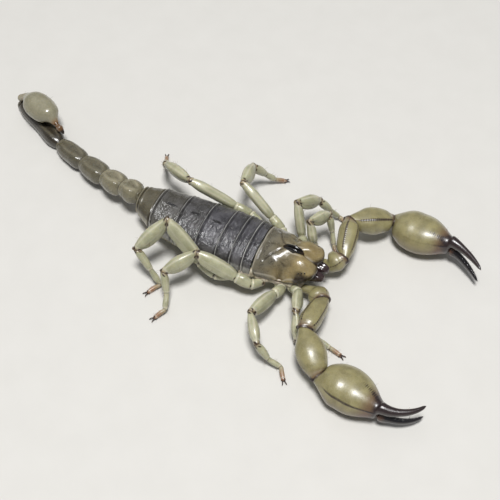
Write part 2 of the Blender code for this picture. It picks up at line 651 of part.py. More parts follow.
# --- legs ------------------------------------------------------------------------
def make_leg(name, number, side, parts):
    """One walking leg in three pieces: hip to knee, patella, and shin with foot."""
    size = LEG_SIZES[number - 1]
    pose = LEG_POSES[name][number - 1]
    troch, femur, patella, tibia, basi, foot = size.lengths
    deep = size.half_depth
    thin = deep * LEG_THINNESS
    upper = Path(mirrored(size.root, side)).go_to(mirrored(size.hip, side))
    upper.go(troch, side * pose.trochanter[0], pose.trochanter[1])
    upper.go(femur, side * pose.femur[0], pose.femur[1])
    knee = Path(upper.joints[-1]).go(patella, side * pose.patella[0], pose.patella[1])
    shin = Path(knee.joints[-1]).go(tibia, side * pose.tibia[0], pose.tibia[1])
    shin.go(basi, side * pose.basitarsus[0], pose.basitarsus[1])
    shin.go_to_floor(foot, side * pose.foot_swing, FOOT_HALF_DEPTH)
    prefix = f"leg_{name}_{number}_"
    bend_clear = 1.0 - 1.15 * deep / femur
    stations = (
        Station(0, 0.0, thin * 0.8, deep * 0.55),
        Station(1, 0.0, thin * 0.85, deep * 0.62),
        Station(1, 0.5, thin * 0.94, deep * 0.78),
        Station(2, 0.0, thin * 0.80, deep * 0.64),
        Station(2, 0.18, thin * 0.95, deep * 0.88),
        Station(2, 0.48, thin, deep),
        Station(2, bend_clear, thin * 0.95, deep * 0.88),
        Station(2, 1.0, thin * 0.62, deep * 0.50),
    )
    shape = limb_shape(upper, stations, 8, side * FEMUR_LEAN, after=knee.axes[0])
    add_piece(prefix + "femur", shape, PALE_CUTICLE, parts)
    profile = ((0.0, 0.50), (1.05 * deep / patella, 0.86), (0.52, 1.04), (0.78, 0.86), (1.0, 0.46))
    stations = profile_stations(profile, thin * 1.05, deep)
    ends = {"before": upper.axes[-1], "after": shin.axes[0]}
    shape = limb_shape(knee, stations, 8, side * PATELLA_LEAN, **ends)
    add_piece(prefix + "patella", shape, PALE_CUTICLE, parts)
    stations = (
        Station(0, 0.0, thin * 0.58, deep * 0.42),
        Station(0, 0.25, thin * 0.72, deep * 0.56),
        Station(0, 0.80, thin * 0.62, deep * 0.48),
        Station(1, 0.0, thin * 0.50, deep * 0.38),
        Station(1, 0.80, thin * 0.48, deep * 0.36),
        Station(2, 0.0, 0.27, 0.28),
        Station(2, 0.40, 0.28, 0.31),
        Station(2, 1.0, 0.24, FOOT_HALF_DEPTH),
    )
    shape = limb_shape(shin, stations, 8, 0.0, before=knee.axes[0])
    cut_at_floor(shape)
    add_piece(prefix + "foot", shape, PALE_CUTICLE, parts)


# --- the whole animal ------------------------------------------------------------
def centre_over_floor(parts):
    """Hang all pieces on one empty that puts the middle of their plan at the origin."""
    corners = [v.co for piece in parts.objects for v in piece.data.vertices]
    low = [min(c[i] for c in corners) for i in range(2)]
    high = [max(c[i] for c in corners) for i in range(2)]
    holder = bpy.data.objects.new("scorpion_origin", None)
    holder.location = (-(low[0] + high[0]) / 2.0, -(low[1] + high[1]) / 2.0, 0.0)
    for piece in list(parts.objects):
        piece.parent = holder
    parts.objects.link(holder)


def main():
    """Build every piece of the scorpion."""
    clear_scene()
    parts = bpy.data.collections.new("desert_scorpion")
    bpy.context.scene.collection.children.link(parts)
    make_carapace(parts)
    starts = tergite_starts()
    for number, (front, rear) in enumerate(zip(starts, starts[1:]), 1):
        make_tergite(number, front, rear, parts)
    make_belly(parts)
    make_coxosternum(parts)
    make_tail(parts)
    for name, side in SIDES.items():
        make_eye(f"eye_{name}", side, parts)
        make_chelicera(f"chelicera_{name}", side, parts)
        make_pecten(f"pecten_{name}", side, parts)
        make_palp(name, side, parts)
        for number in range(1, len(LEG_SIZES) + 1):
            make_leg(name, number, side, parts)
    centre_over_floor(parts)


main()
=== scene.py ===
"""Looks of the desert scorpion: fine shells, skin, bristles, finishes, floor, light and camera.

Sizes are in millimetres unless a name says otherwise, and become metres when a piece is
finished. A place along a piece runs from 0 at its root to 1 at its tip. An angle round a
limb starts at the left of the limb's direction and rises over its top, in degrees.
"""

import logging
import math
import random
from collections.abc import Callable, Sequence
from dataclasses import dataclass, field
from enum import Enum

import bmesh
import bpy
import numpy as np
from mathutils import Matrix, Vector


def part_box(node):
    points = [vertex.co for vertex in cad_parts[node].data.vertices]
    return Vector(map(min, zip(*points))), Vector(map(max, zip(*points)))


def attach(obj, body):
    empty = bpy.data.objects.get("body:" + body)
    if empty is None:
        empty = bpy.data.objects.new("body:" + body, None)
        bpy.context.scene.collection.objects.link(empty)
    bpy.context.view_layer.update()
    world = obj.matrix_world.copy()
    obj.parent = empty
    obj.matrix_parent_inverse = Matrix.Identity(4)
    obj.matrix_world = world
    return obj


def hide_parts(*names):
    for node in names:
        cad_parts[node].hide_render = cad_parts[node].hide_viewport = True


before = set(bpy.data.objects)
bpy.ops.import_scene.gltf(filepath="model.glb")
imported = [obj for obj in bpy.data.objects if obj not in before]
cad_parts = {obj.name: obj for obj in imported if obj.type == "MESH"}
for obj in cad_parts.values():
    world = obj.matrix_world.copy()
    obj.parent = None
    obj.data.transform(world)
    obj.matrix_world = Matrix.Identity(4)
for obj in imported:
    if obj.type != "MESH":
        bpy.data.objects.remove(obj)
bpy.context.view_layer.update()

MM = 0.001  # one millimetre in metres
BODY = "root"  # the body that every piece rides on
FLOOR_LEVEL = 1e-6  # no shell goes below this height
Colour = tuple[float, float, float]
Relief = Callable[[np.ndarray, np.ndarray], dict]
log = logging.getLogger("scorpion")


class Side(Enum):
    """A side of the body, with the sign of its Y direction."""

    LEFT = 1
    RIGHT = -1

    @property
    def word(self) -> str:
        """The side's name as the CAD nodes write it."""
        return self.name.lower()


class Mask(Enum):
    """A painted amount that a finish reads from the mesh."""

    DARK = "dark"
    PALE = "pale"
    TINT = "tint"


# --- shader arithmetic --------------------------------------------------------------
class Value:
    """A number that a shader socket carries; each operator adds a Math node."""

    def __init__(self, recipe: "Recipe", socket: bpy.types.NodeSocket) -> None:
        """Keep the socket and the recipe that it belongs to."""
        self.recipe = recipe
        self.socket = socket

    def __add__(self, other: "Value | float") -> "Value":
        """Sum of two numbers."""
        return self.recipe.math("ADD", self, other)

    __radd__ = __add__

    def __sub__(self, other: "Value | float") -> "Value":
        """Difference of two numbers."""
        return self.recipe.math("SUBTRACT", self, other)

    def __rsub__(self, other: float) -> "Value":
        """A plain number less this one."""
        return self.recipe.math("SUBTRACT", other, self)

    def __mul__(self, other: "Value | float") -> "Value":
        """Product of two numbers."""
        return self.recipe.math("MULTIPLY", self, other)

    __rmul__ = __mul__


class Recipe:
    """The nodes of one material, added one by one."""

    def __init__(self, name: str) -> None:
        """Start an empty material.

        Args:
            name: the material's name.
        """
        self.material = bpy.data.materials.new(name)
        self.material.use_nodes = True
        self.tree = self.material.node_tree
        self.tree.nodes.clear()
        self.place = self.node("ShaderNodeTexCoord").outputs["Object"]

    def node(
        self, kind: str, settings: dict | None = None, inputs: dict | None = None
    ) -> bpy.types.Node:
        """Add a node; its settings are set before its sockets.

        Args:
            kind: Blender's name of the node type.
            settings: attributes of the node.
            inputs: a number, colour, Value or socket for each input, by name or index.

        Returns:
            The new node.
        """
        node = self.tree.nodes.new(kind)
        for key, setting in (settings or {}).items():
            setattr(node, key, setting)
        for key, given in (inputs or {}).items():
            socket = node.inputs[key]
            source = given.socket if isinstance(given, Value) else given
            if isinstance(source, bpy.types.NodeSocket):
                self.tree.links.new(source, socket)
            elif isinstance(source, tuple) and len(source) == 3 and len(socket.default_value) == 4:
                socket.default_value = (*source, 1.0)
            else:
                socket.default_value = source
        return node

    def math(self, operation: str, *terms: "Value | float") -> Value:
        """Add a Math node.

        Args:
            operation: Blender's name of the operation.
            terms: one to three numbers.

        Returns:
            The node's result.
        """
        node = self.node("ShaderNodeMath", {"operation": operation}, dict(enumerate(terms)))
        return Value(self, node.outputs[0])

    def painted(self, mask: Mask) -> Value:
        """The amount of a mask that is painted on the mesh."""
        node = self.node("ShaderNodeAttribute", {"attribute_name": mask.value})
        return Value(self, node.outputs["Fac"])

    def step(self, value: Value, low: float, high: float) -> Value:
        """A smooth step from 0 at low to 1 at high.

        Args:
            value: the number to step.
            low: where the step starts.
            high: where it is complete.

        Returns:
            The step.
        """
        settings = {"interpolation_type": "SMOOTHSTEP"}
        inputs = {"Value": value, "From Min": low, "From Max": high}
        return Value(self, self.node("ShaderNodeMapRange", settings, inputs).outputs["Result"])

    def noise(self, grain: float, detail: float = 4.0, stretch: Vector | None = None) -> Value:
        """Soft noise from 0 to 1.

        Args:
            grain: size of its features.
            detail: how many finer octaves it has.
            stretch: relative size of the features along X, Y and Z.

        Returns:
            The noise.
        """
        place = self.place
        if stretch is not None:
            scale = tuple(1.0 / s for s in stretch)
            mapping = self.node("ShaderNodeMapping", None, {"Vector": place, "Scale": scale})
            place = mapping.outputs[0]
        inputs = {"Vector": place, "Scale": 1.0 / (grain * MM), "Detail": detail}
        return Value(self, self.node("ShaderNodeTexNoise", None, inputs).outputs[0])

    def cell_edges(self, grain: float) -> Value:
        """Distance from the borders of a pattern of uneven cells.

        Args:
            grain: size of a cell.

        Returns:
            The distance, in cells.
        """
        size = grain * MM
        inputs = {"Vector": self.place, "Scale": 0.7 / size}
        wobble = self.node("ShaderNodeTexNoise", None, inputs).outputs["Color"]
        inputs = {0: wobble, "Scale": size}
        sway = self.node("ShaderNodeVectorMath", {"operation": "SCALE"}, inputs).outputs[0]
        inputs = {0: self.place, 1: sway}
        place = self.node("ShaderNodeVectorMath", {"operation": "ADD"}, inputs).outputs[0]
        inputs = {"Vector": place, "Scale": 1.0 / size}
        cells = self.node("ShaderNodeTexVoronoi", {"feature": "DISTANCE_TO_EDGE"}, inputs)
        return Value(self, cells.outputs["Distance"])

    def blend(self, share: Value | float, first: object, second: object) -> bpy.types.NodeSocket:
        """Mix two colours.

        Args:
            share: how much of the second colour there is.
            first: colour or socket.
            second: colour or socket.

        Returns:
            The mixed colour's socket.
        """
        node = self.node("ShaderNodeMix", {"data_type": "RGBA"}, {0: share, 6: first, 7: second})
        return node.outputs[2]

    def relief(self, height: Value, depth: float) -> bpy.types.NodeSocket:
        """Turn a height from 0 to 1 into a normal, for a relief of the given depth."""
        node = self.node("ShaderNodeBump", None, {"Height": height, "Distance": depth * MM})
        return node.outputs[0]

    def finish(self, inputs: dict) -> bpy.types.Material:
        """Add the shader and the output.

        Args:
            inputs: values or links of the shader's sockets.

        Returns:
            The finished material.
        """
        shader = self.node("ShaderNodeBsdfPrincipled", None, inputs)
        self.node("ShaderNodeOutputMaterial", None, {"Surface": shader.outputs[0]})
        return self.material


# --- finishes -----------------------------------------------------------------------
@dataclass(frozen=True)
class Cuticle:
    """A hard waxy shell: two broad tones, dark pigment, pale rims, brown netting, fine relief, and
    painted shade and highlights where its masks carry them.
    """

    name: str
    light: Colour
    shade: Colour
    dark: Colour
    pale: Colour
    tint: Colour
    roughness: float = 0.34
    mottle: float = 1.1
    net: float = 0.0
    net_size: float = 0.22
    grain: float = 0.10
    depth: float = 0.020
    coat: float = 0.25
    coat_blur: float = 0.12
    glow: float = 0.12
    ragged: float = 0.35

    def make(self) -> bpy.types.Material:
        """Build the material.

        Returns:
            The finished material.
        """
        r = Recipe(self.name)
        broad = r.step(r.noise(self.mottle, 3.0), 0.34, 0.68)
        fine = r.noise(self.grain, 5.0)
        colour = r.blend(broad, self.light, self.shade)
        colour = r.blend(0.22 * r.step(fine, 0.35, 0.75), colour, self.pale)
        tint = r.painted(Mask.TINT)
        colour = r.blend(tint, colour, self.tint)
        net = 1.0 - r.step(r.cell_edges(self.net_size), 0.02, 0.16)
        net = net * r.step(r.noise(0.8, 2.0), 0.38, 0.6) * self.net * (0.25 + 1.5 * tint)
        colour = r.blend(net, colour, self.dark)
        # pale mask: pale rims, and painted highlights where a piece paints them
        colour = r.blend(r.painted(Mask.PALE), colour, self.pale)
        # dark mask: pigment, and painted shade where a piece paints it
        dark = r.painted(Mask.DARK)
        ragged = r.step(dark + self.ragged * (r.noise(0.16, 3.0) - 0.5), 0.12, 0.66)
        colour = r.blend(ragged, colour, self.dark)
        height = 0.6 * fine + 0.4 * r.noise(self.grain * 4.0, 2.0)
        gloss = self.roughness + 0.16 * (r.noise(0.5, 3.0) - 0.5) - 0.05 * ragged
        return r.finish(
            {
                "Base Color": colour,
                "Roughness": gloss,
                "IOR": 1.52,
                "Coat Weight": self.coat,
                "Coat Roughness": self.coat_blur,
                "Subsurface Weight": self.glow,
                "Subsurface Radius": (0.9, 0.6, 0.3),
                "Subsurface Scale": 0.45 * MM,
                "Normal": r.relief(height, self.depth),
            }
        )


@dataclass(frozen=True)
class WetPlate:
    """Dark leathery back plate with cross wrinkles, a wet shine, a pale rear edge and painted
    shade.
    """

    name: str = "wet_back_plate"
    light: Colour = (0.085, 0.082, 0.092)
    shade: Colour = (0.022, 0.021, 0.026)
    dark: Colour = (0.008, 0.007, 0.007)
    pale: Colour = (0.42, 0.41, 0.38)
    tint: Colour = (0.11, 0.10, 0.062)
    roughness: float = 0.19

    def make(self) -> bpy.types.Material:
        """Build the material.

        Returns:
            The finished material.
        """
        r = Recipe(self.name)
        folds = r.noise(0.42, 5.0, Vector((0.55, 1.5, 1.0)))
        pores = r.noise(0.09, 3.0)
        broad = r.step(r.noise(1.5, 3.0), 0.32, 0.66)
        colour = r.blend(broad, self.light, self.shade)
        # lighter on the wrinkle crests, darker in their troughs: painted shade in the wrinkles
        colour = r.blend(0.5 * r.step(folds, 0.40, 0.72), colour, self.light)
        colour = r.blend(0.6 * r.painted(Mask.TINT), colour, self.tint)
        # pale mask: the pale rear edge, and a faint painted highlight on the welt
        pale = r.step(r.painted(Mask.PALE) + 0.3 * (folds - 0.5), 0.2, 0.8)
        colour = r.blend(pale, colour, self.pale)
        # dark mask: painted shade under and between the plates, and the dashes' pigment
        colour = r.blend(r.step(r.painted(Mask.DARK), 0.15, 0.75), colour, self.dark)
        height = 0.55 * folds + 0.12 * pores + 0.60 * r.noise(1.1, 2.0, Vector((0.8, 1.3, 1.0)))
        return r.finish(
            {
                "Base Color": colour,
                "Roughness": self.roughness + 0.30 * (r.noise(0.4, 4.0) - 0.5),
                "IOR": 1.5,
                "Specular IOR Level": 1.0,
                "Coat Weight": 0.12,
                "Coat Roughness": 0.16,
                "Normal": r.relief(height, 0.34),
            }
        )


@dataclass(frozen=True)
class SoftSkin:
    """Pale folded skin between the shells, with painted shade in its folds."""

    name: str = "soft_skin"
    light: Colour = (0.50, 0.47, 0.33)
    fold: Colour = (0.18, 0.155, 0.085)
    pale: Colour = (0.60, 0.50, 0.42)
    dark: Colour = (0.05, 0.035, 0.02)

    def make(self) -> bpy.types.Material:
        """Build the material.

        Returns:
            The finished material.
        """
        r = Recipe(self.name)
        folds = r.noise(0.30, 5.0, Vector((0.6, 1.2, 1.0)))
        # the fold colour is painted shade in the troughs of the folds
        colour = r.blend(r.step(folds, 0.36, 0.62), self.fold, self.light)
        colour = r.blend(r.painted(Mask.PALE), colour, self.pale)
        colour = r.blend(r.painted(Mask.DARK), colour, self.dark)
        return r.finish(
            {
                "Base Color": colour,
                "Roughness": 0.46 + 0.15 * (r.noise(0.2, 3.0) - 0.5),
                "Subsurface Weight": 0.15,
                "Subsurface Radius": (1.0, 0.6, 0.4),
                "Subsurface Scale": 0.4 * MM,
                "Normal": r.relief(folds, 0.10),
            }
        )


@dataclass(frozen=True)
class Horn:
    """Glossy dark horn, finely speckled, browner towards its root; its pale mask is a painted
    highlight.
    """

    name: str
    dark: Colour = (0.010, 0.008, 0.010)
    speckle: Colour = (0.10, 0.085, 0.08)
    root: Colour = (0.070, 0.034, 0.020)
    roughness: float = 0.20
    painted_highlight: Colour = (0.30, 0.26, 0.22)

    def make(self) -> bpy.types.Material:
        """Build the material.

        Returns:
            The finished material.
        """
        r = Recipe(self.name)
        spots = r.step(r.noise(0.07, 3.0), 0.58, 0.72)
        colour = r.blend(0.35 * spots, self.dark, self.speckle)
        brown = r.step(r.painted(Mask.TINT) + 0.35 * (r.noise(0.3, 3.0) - 0.5), 0.1, 0.9)
        colour = r.blend(brown, colour, self.root)
        # pale mask: painted highlight colour, used on the sting's swelling
        colour = r.blend(r.painted(Mask.PALE), colour, self.painted_highlight)
        height = 0.5 * r.noise(0.12, 4.0) + 0.5 * r.noise(0.5, 2.0)
        return r.finish(
            {
                "Base Color": colour,
                "Roughness": self.roughness + 0.14 * (r.noise(0.25, 3.0) - 0.5),
                "IOR": 1.55,
                "Coat Weight": 0.6,
                "Coat Roughness": 0.08,
                "Normal": r.relief(height, 0.022),
            }
        )


# --- number helpers -----------------------------------------------------------------
def hump(value: np.ndarray, centre: float, width: float) -> np.ndarray:
    """A soft hump of height 1 at a centre."""
    return np.exp(-(((value - centre) / width) ** 2))


def rise(value: np.ndarray, low: float, high: float) -> np.ndarray:
    """A smooth step from 0 at low to 1 at high, which may run downwards."""
    t = np.clip((value - low) / (high - low), 0.0, 1.0)
    return t * t * (3.0 - 2.0 * t)


def turn_from(angle: np.ndarray, target: float) -> np.ndarray:
    """How far angles are from a target, in degrees, the short way round."""
    return (np.degrees(angle) - target + 180.0) % 360.0 - 180.0


def beads(value: np.ndarray, pitch: float) -> np.ndarray:
    """A row of round beads from 0 to 1 along a length."""
    return 0.5 + 0.5 * np.cos(2.0 * math.pi * value / pitch)


def body_share(t: np.ndarray) -> np.ndarray:
    """1 over the middle of a piece, falling to 0 at both ends."""
    return rise(t, 0.05, 0.25) * (1.0 - rise(t, 0.75, 0.95))


# --- modelling ----------------------------------------------------------------------
class Clay:
    """A closed tube of fine mesh that is pressed into shape and painted."""

    def __init__(self, around: int, along: int) -> None:
        """Start a tube of unit size.

        Args:
            around: points round the tube.
            along: bands along the tube.
        """
        self.mesh = bmesh.new()
        bmesh.ops.create_cone(
            self.mesh, cap_ends=True, segments=around, radius1=1.0, radius2=1.0, depth=1.0,
            matrix=Matrix.Translation((0.0, 0.0, 0.5)),
        )
        upright = [e for e in self.mesh.edges if abs(e.verts[0].co.z - e.verts[1].co.z) > 0.5]
        bmesh.ops.subdivide_edges(self.mesh, edges=upright, cuts=along - 1)
        places = np.array([v.co for v in self.mesh.verts])
        self.along = np.clip(places[:, 2], 0.0, 1.0)
        self.angle = np.arctan2(places[:, 1], places[:, 0])
        self.layers = {mask: self.mesh.verts.layers.float.new(mask.value) for mask in Mask}

    def press(self, points: np.ndarray) -> None:
        """Move every point of the tube to its new place.

        Args:
            points: new places, in the order of the tube's points.
        """
        for vert, point in zip(self.mesh.verts, points):
            vert.co = point

    def paint(self, mask: Mask, amount: np.ndarray) -> None:
        """Paint a mask.

        Args:
            mask: the mask to paint.
            amount: from 0 to 1 for each point of the tube.
        """
        layer = self.layers[mask]
        for vert, share in zip(self.mesh.verts, np.clip(amount, 0.0, 1.0)):
            vert[layer] = share

    def take(self, other: "Clay") -> None:
        """Join another lump of clay to this one and use it up.

        Args:
            other: the lump, which must not be used again.
        """
        scrap = bpy.data.meshes.new("scrap")
        other.mesh.to_mesh(scrap)
        other.mesh.free()
        self.mesh.from_mesh(scrap)
        bpy.data.meshes.remove(scrap)


@dataclass
class Piece:
    """A finished mesh object and what it stands for."""

    name: str
    material: bpy.types.Material
    slot: str
    nodes: tuple[str, ...] = ()
    sharp: float = 60.0

    def cast(self, shape: bmesh.types.BMesh) -> None:
        """Turn a mesh in millimetres into a piece that rides on the body.

        Args:
            shape: the mesh, which is used up.
        """
        bmesh.ops.scale(shape, vec=(MM, MM, MM), verts=shape.verts)
        mesh = bpy.data.meshes.new(self.name)
        shape.to_mesh(mesh)
        shape.free()
        mesh.shade_smooth()
        mesh.set_sharp_from_angle(angle=math.radians(self.sharp))
        mesh.materials.append(self.material)
        thing = bpy.data.objects.new(self.name, mesh)
        bpy.context.scene.collection.objects.link(thing)
        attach(thing, BODY)
        if self.nodes:
            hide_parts(*self.nodes)
        log.info("%s: %d points", self.name, len(mesh.vertices))


class CadSolid:
    """A merged copy of one CAD node, in millimetres."""

    merge_gap: float = 0.002
    same_turn: float = 0.9998
    same_level: float = 0.012
    least_faces: int = 6
    sole_top: float = 0.02
    floor_band: float = 0.004

    def __init__(self, node: str) -> None:
        """Read the node.

        Args:
            node: the CAD node's name.
        """
        self.shape = bmesh.new()
        self.shape.from_mesh(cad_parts[node].data)
        bmesh.ops.scale(self.shape, vec=(1.0 / MM,) * 3, verts=self.shape.verts)
        bmesh.ops.remove_doubles(self.shape, verts=self.shape.verts, dist=self.merge_gap)
        self.shape.verts.index_update()
        self.points = np.array([v.co for v in self.shape.verts])

    def across(self, x: float, reach: float) -> np.ndarray:
        """Points of the solid whose place along X is within a reach of x."""
        return self.points[np.abs(self.points[:, 0] - x) < reach]

    def end_faces(self) -> list[list[bmesh.types.BMFace]]:
        """Groups of triangles that share a plane, other than the sole on the floor.

        Returns:
            The triangles of each group.
        """
        self.shape.normal_update()
        faces = list(self.shape.faces)
        normals = np.array([f.normal for f in faces])
        corners = np.array([f.verts[0].co for f in faces])
        groups = []
        for normal, corner in zip(normals, corners):
            near = np.abs((corners - corner) @ normal) < self.same_level
            group = [faces[i] for i in np.flatnonzero((normals @ normal > self.same_turn) & near)]
            top = max((v.co.z for f in group for v in f.verts), default=0.0)
            if len(group) >= self.least_faces and top > self.sole_top:
                groups.append(group)
        return groups

    def rings(self, anchor: Vector) -> list[np.ndarray]:
        """The rings of a lofted solid, from the end nearest an anchor.

        Args:
            anchor: a point near the first ring.

        Returns:
            The points of each ring, without those on the floor.
        """
        def gap(group: list[bmesh.types.BMFace]) -> float:
            """Distance from a group of faces to the anchor."""
            corners = {v for f in group for v in f.verts}
            return (sum((v.co for v in corners), Vector()) / len(corners) - anchor).length

        first = min(self.end_faces(), key=gap)
        layer = {v for f in first for v in f.verts}
        seen = set(layer)
        found = []
        while layer:
            found.append(np.array([v.co for v in sorted(layer, key=lambda vert: vert.index)]))
            beside = {e.other_vert(v) for v in layer for e in v.link_edges}
            layer = {v for v in beside - seen if v.co.z > self.floor_band}
            seen |= layer
        return found


class Loft:
    """The smooth surface through the rings of a CAD limb piece."""

    most_waves: int = 6
    look_ahead: float = 0.02

    def __init__(self, node: str, anchor: Vector) -> None:
        """Read the rings.

        Args:
            node: the CAD node's name.
            anchor: a point near the piece's root.
        """
        rings = CadSolid(node).rings(anchor)
        count = len(rings[0])
        centres = []
        for ring in rings:
            # a ring that the floor cuts is centred without as many of its highest points
            lost = max(0, count - len(ring))
            order = np.lexsort((-ring[:, 1], ring[:, 2].round(3)))
            centres.append(ring[order][: len(ring) - lost].mean(0))
        self.centres = np.array(centres)
        steps = np.linalg.norm(np.diff(self.centres, axis=0), axis=1)
        self.places = np.concatenate([[0.0], np.cumsum(steps)])
        self.length = float(self.places[-1])
        tangents = np.gradient(self.centres, self.places, axis=0)
        self.axes = tangents / np.linalg.norm(tangents, axis=1)[:, None]
        self.outlines = []
        self.wides = []
        self.deeps = []
        for ring, centre, axis in zip(rings, self.centres, self.axes):
            normal = np.linalg.svd(ring - ring.mean(0))[2][2]
            normal *= math.copysign(1.0, float(normal @ axis))
            left = np.cross((0.0, 0.0, 1.0), axis)
            wide = left - normal * (left @ normal)
            wide /= np.linalg.norm(wide)
            deep = np.cross(normal, wide)
            self.wides.append(wide)
            self.deeps.append(deep)
            self.outlines.append(self.fit(ring - centre, wide, deep, count))
        self.end = Vector(self.centres[-1])

    @staticmethod
    def fit(offsets: np.ndarray, wide: np.ndarray, deep: np.ndarray, count: int) -> np.ndarray:
        """Waves of the smooth outline through a ring's corners.

        Args:
            offsets: the corners, from the ring's centre.
            wide: unit vector to the left in the ring's plane.
            deep: unit vector upwards in the ring's plane.
            count: how many corners a whole ring has.

        Returns:
            The outline's mean radius and then its cosine and sine waves.
        """
        across, up = offsets @ wide, offsets @ deep
        angle, radius = np.arctan2(up, across), np.hypot(across, up)
        if len(offsets) < count:
            angle = np.concatenate([angle, angle + math.pi])
            radius = np.concatenate([radius, radius])
        order = min(count, len(angle)) // 2 - 1
        waves = Loft.waves(angle, min(order, Loft.most_waves))
        return np.linalg.lstsq(waves, radius, rcond=None)[0]

    @staticmethod
    def waves(angle: np.ndarray, order: int) -> np.ndarray:
        """Cosine and sine waves at the given angles, up to an order.

        Args:
            angle: angles in radians.
            order: how many waves of each kind.

        Returns:
            One column for each wave, after a column of ones.
        """
        columns = [np.ones_like(angle)]
        for k in range(1, order + 1):
            columns += [np.cos(k * angle), np.sin(k * angle)]
        return np.stack(columns, axis=-1)

    def ring_points(self, index: int, angle: np.ndarray) -> np.ndarray:
        """Points of one ring at the given angles.

        Args:
            index: the ring's number from the root.
            angle: angles in radians.

        Returns:
            One point for each angle.
        """
        outline = self.outlines[index]
        radius = self.waves(angle, (len(outline) - 1) // 2) @ outline
        across = np.cos(angle)[:, None] * self.wides[index]
        up = np.sin(angle)[:, None] * self.deeps[index]
        return self.centres[index] + radius[:, None] * (across + up)

    def surface(self, along: np.ndarray, angle: np.ndarray) -> np.ndarray:
        """Points of the smooth surface.

        Args:
            along: places from 0 to 1.
            angle: angles round the limb in radians.

        Returns:
            One point for each place and angle.
        """
        table = np.stack([self.ring_points(i, angle) for i in range(len(self.centres))])
        slopes = np.gradient(table, self.places, axis=0)
        return self.between(table, slopes, along)

    def between(self, table: np.ndarray, slopes: np.ndarray, along: np.ndarray) -> np.ndarray:
        """Read smooth curves through the rings.

        Args:
            table: what each ring holds for each point.
            slopes: how that changes along the limb.
            along: each point's place from 0 to 1.

        Returns:
            The value of each point's curve at its place.
        """
        place = np.clip(along, 0.0, 1.0) * self.length
        ring = np.searchsorted(self.places, place, side="right") - 1
        ring = np.clip(ring, 0, len(self.places) - 2)
        span = self.places[ring + 1] - self.places[ring]
        t = ((place - self.places[ring]) / span)[:, None]
        span = span[:, None]
        point = np.arange(len(along))
        a, b = table[ring, point], table[ring + 1, point]
        da, db = slopes[ring, point] * span, slopes[ring + 1, point] * span
        t2, t3 = t * t, t * t * t
        before = a * (2 * t3 - 3 * t2 + 1) + da * (t3 - 2 * t2 + t)
        return before + b * (3 * t2 - 2 * t3) + db * (t3 - t2)

    def middle(self, along: np.ndarray) -> np.ndarray:
        """Points of the centre line at places from 0 to 1.

        Args:
            along: places from 0 to 1.

        Returns:
            One point for each place.
        """
        table = np.repeat(self.centres[:, None, :], len(along), axis=1)
        slopes = np.gradient(table, self.places, axis=0)
        return self.between(table, slopes, along)

    def at(self, index: int) -> float:
        """Place of a ring, from 0 to 1."""
        return float(self.places[index] / self.length)

    def point(self, along: float, angle: float) -> tuple[Vector, Vector]:
        """A surface point and its outward direction.

        Args:
            along: place from 0 to 1.
            angle: angle in degrees.

        Returns:
            The point and a unit vector away from the limb's middle.
        """
        place = np.array([along])
        spot = self.surface(place, np.radians(np.array([angle])))[0]
        out = spot - self.middle(place)[0]
        return Vector(spot), Vector(out).normalized()

    def heading(self, along: float) -> Vector:
        """Unit vector along the limb's middle at a place.

        Args:
            along: place from 0 to 1.

        Returns:
            The unit vector.
        """
        step = self.look_ahead
        ends = self.middle(np.array([max(along - step, 0.0), min(along + step, 1.0)]))
        return Vector(ends[1] - ends[0]).normalized()


@dataclass
class Shell:
    """One limb piece: a fine tube over a CAD loft with raised and painted detail.

    Its root runs on behind the loft as a slimmer neck, which enters the piece before it.
    Its far end is either rounded off or sunk inside a rim for the next piece.
    """

    loft: Loft
    around: int
    along: int
    neck: float = 0.22
    squeeze: float = 0.22
    lip: float = 0.16
    round_end: bool = False
    end_length: float = 0.45
    end_fullness: float = 2.2
    rim: float = 0.02

    def build(self, relief: Relief) -> Clay:
        """Press the tube over the loft.

        Args:
            relief: takes millimetres from the root and angles in radians, and gives
                "out" in millimetres and the amounts of masks.

        Returns:
            The shaped clay.
        """
        clay = Clay(self.around, self.along)
        reach = self.loft.length
        place = clay.along * (reach + self.neck) - self.neck
        inside = np.clip(place / reach, 0.0, 1.0)
        points = self.loft.surface(inside, clay.angle)
        middle = self.loft.middle(inside)
        out = points - middle
        radius = np.linalg.norm(out, axis=1)
        out /= radius[:, None]
        made = relief(place, clay.angle)
        lift = np.broadcast_to(made.get("out", 0.0), place.shape).copy()
        shrink = np.ones_like(place)
        before = np.clip(-place / self.neck, 0.0, 1.0) if self.neck else np.zeros_like(place)
        shrink *= 1.0 - self.squeeze * rise(before, 0.0, 0.35) - 0.10 * before
        if self.round_end:
            tail = np.clip((place - reach) / self.end_length + 1.0, 0.0, 1.0)
            shrink *= np.sqrt(np.maximum(1.0 - tail**self.end_fullness, 0.0004))
        axis = np.array(self.loft.axes[0])
        points = middle + out * (radius * shrink + lift)[:, None]
        points += axis * np.minimum(place, 0.0)[:, None]
        points[:, 2] = np.maximum(points[:, 2], FLOOR_LEVEL)
        clay.press(points)
        for mask in Mask:
            if mask in made:
                clay.paint(mask, np.broadcast_to(made[mask], place.shape))
        if not self.round_end and self.lip > 0.0:
            self.open_socket(clay)
        return clay

    def open_socket(self, clay: Clay) -> None:
        """Sink the far end inside its rim, so that the next piece seems to enter it.

        Args:
            clay: the shaped tube.
        """
        root = Vector(self.loft.centres[0])
        end = max(
            clay.mesh.faces,
            key=lambda face: len(face.verts) * (face.calc_center_median() - root).length,
        )
        bmesh.ops.inset_region(clay.mesh, faces=[end], thickness=self.lip * 0.6, depth=0.0)
        bmesh.ops.inset_region(clay.mesh, faces=[end], thickness=self.rim, depth=-self.lip)


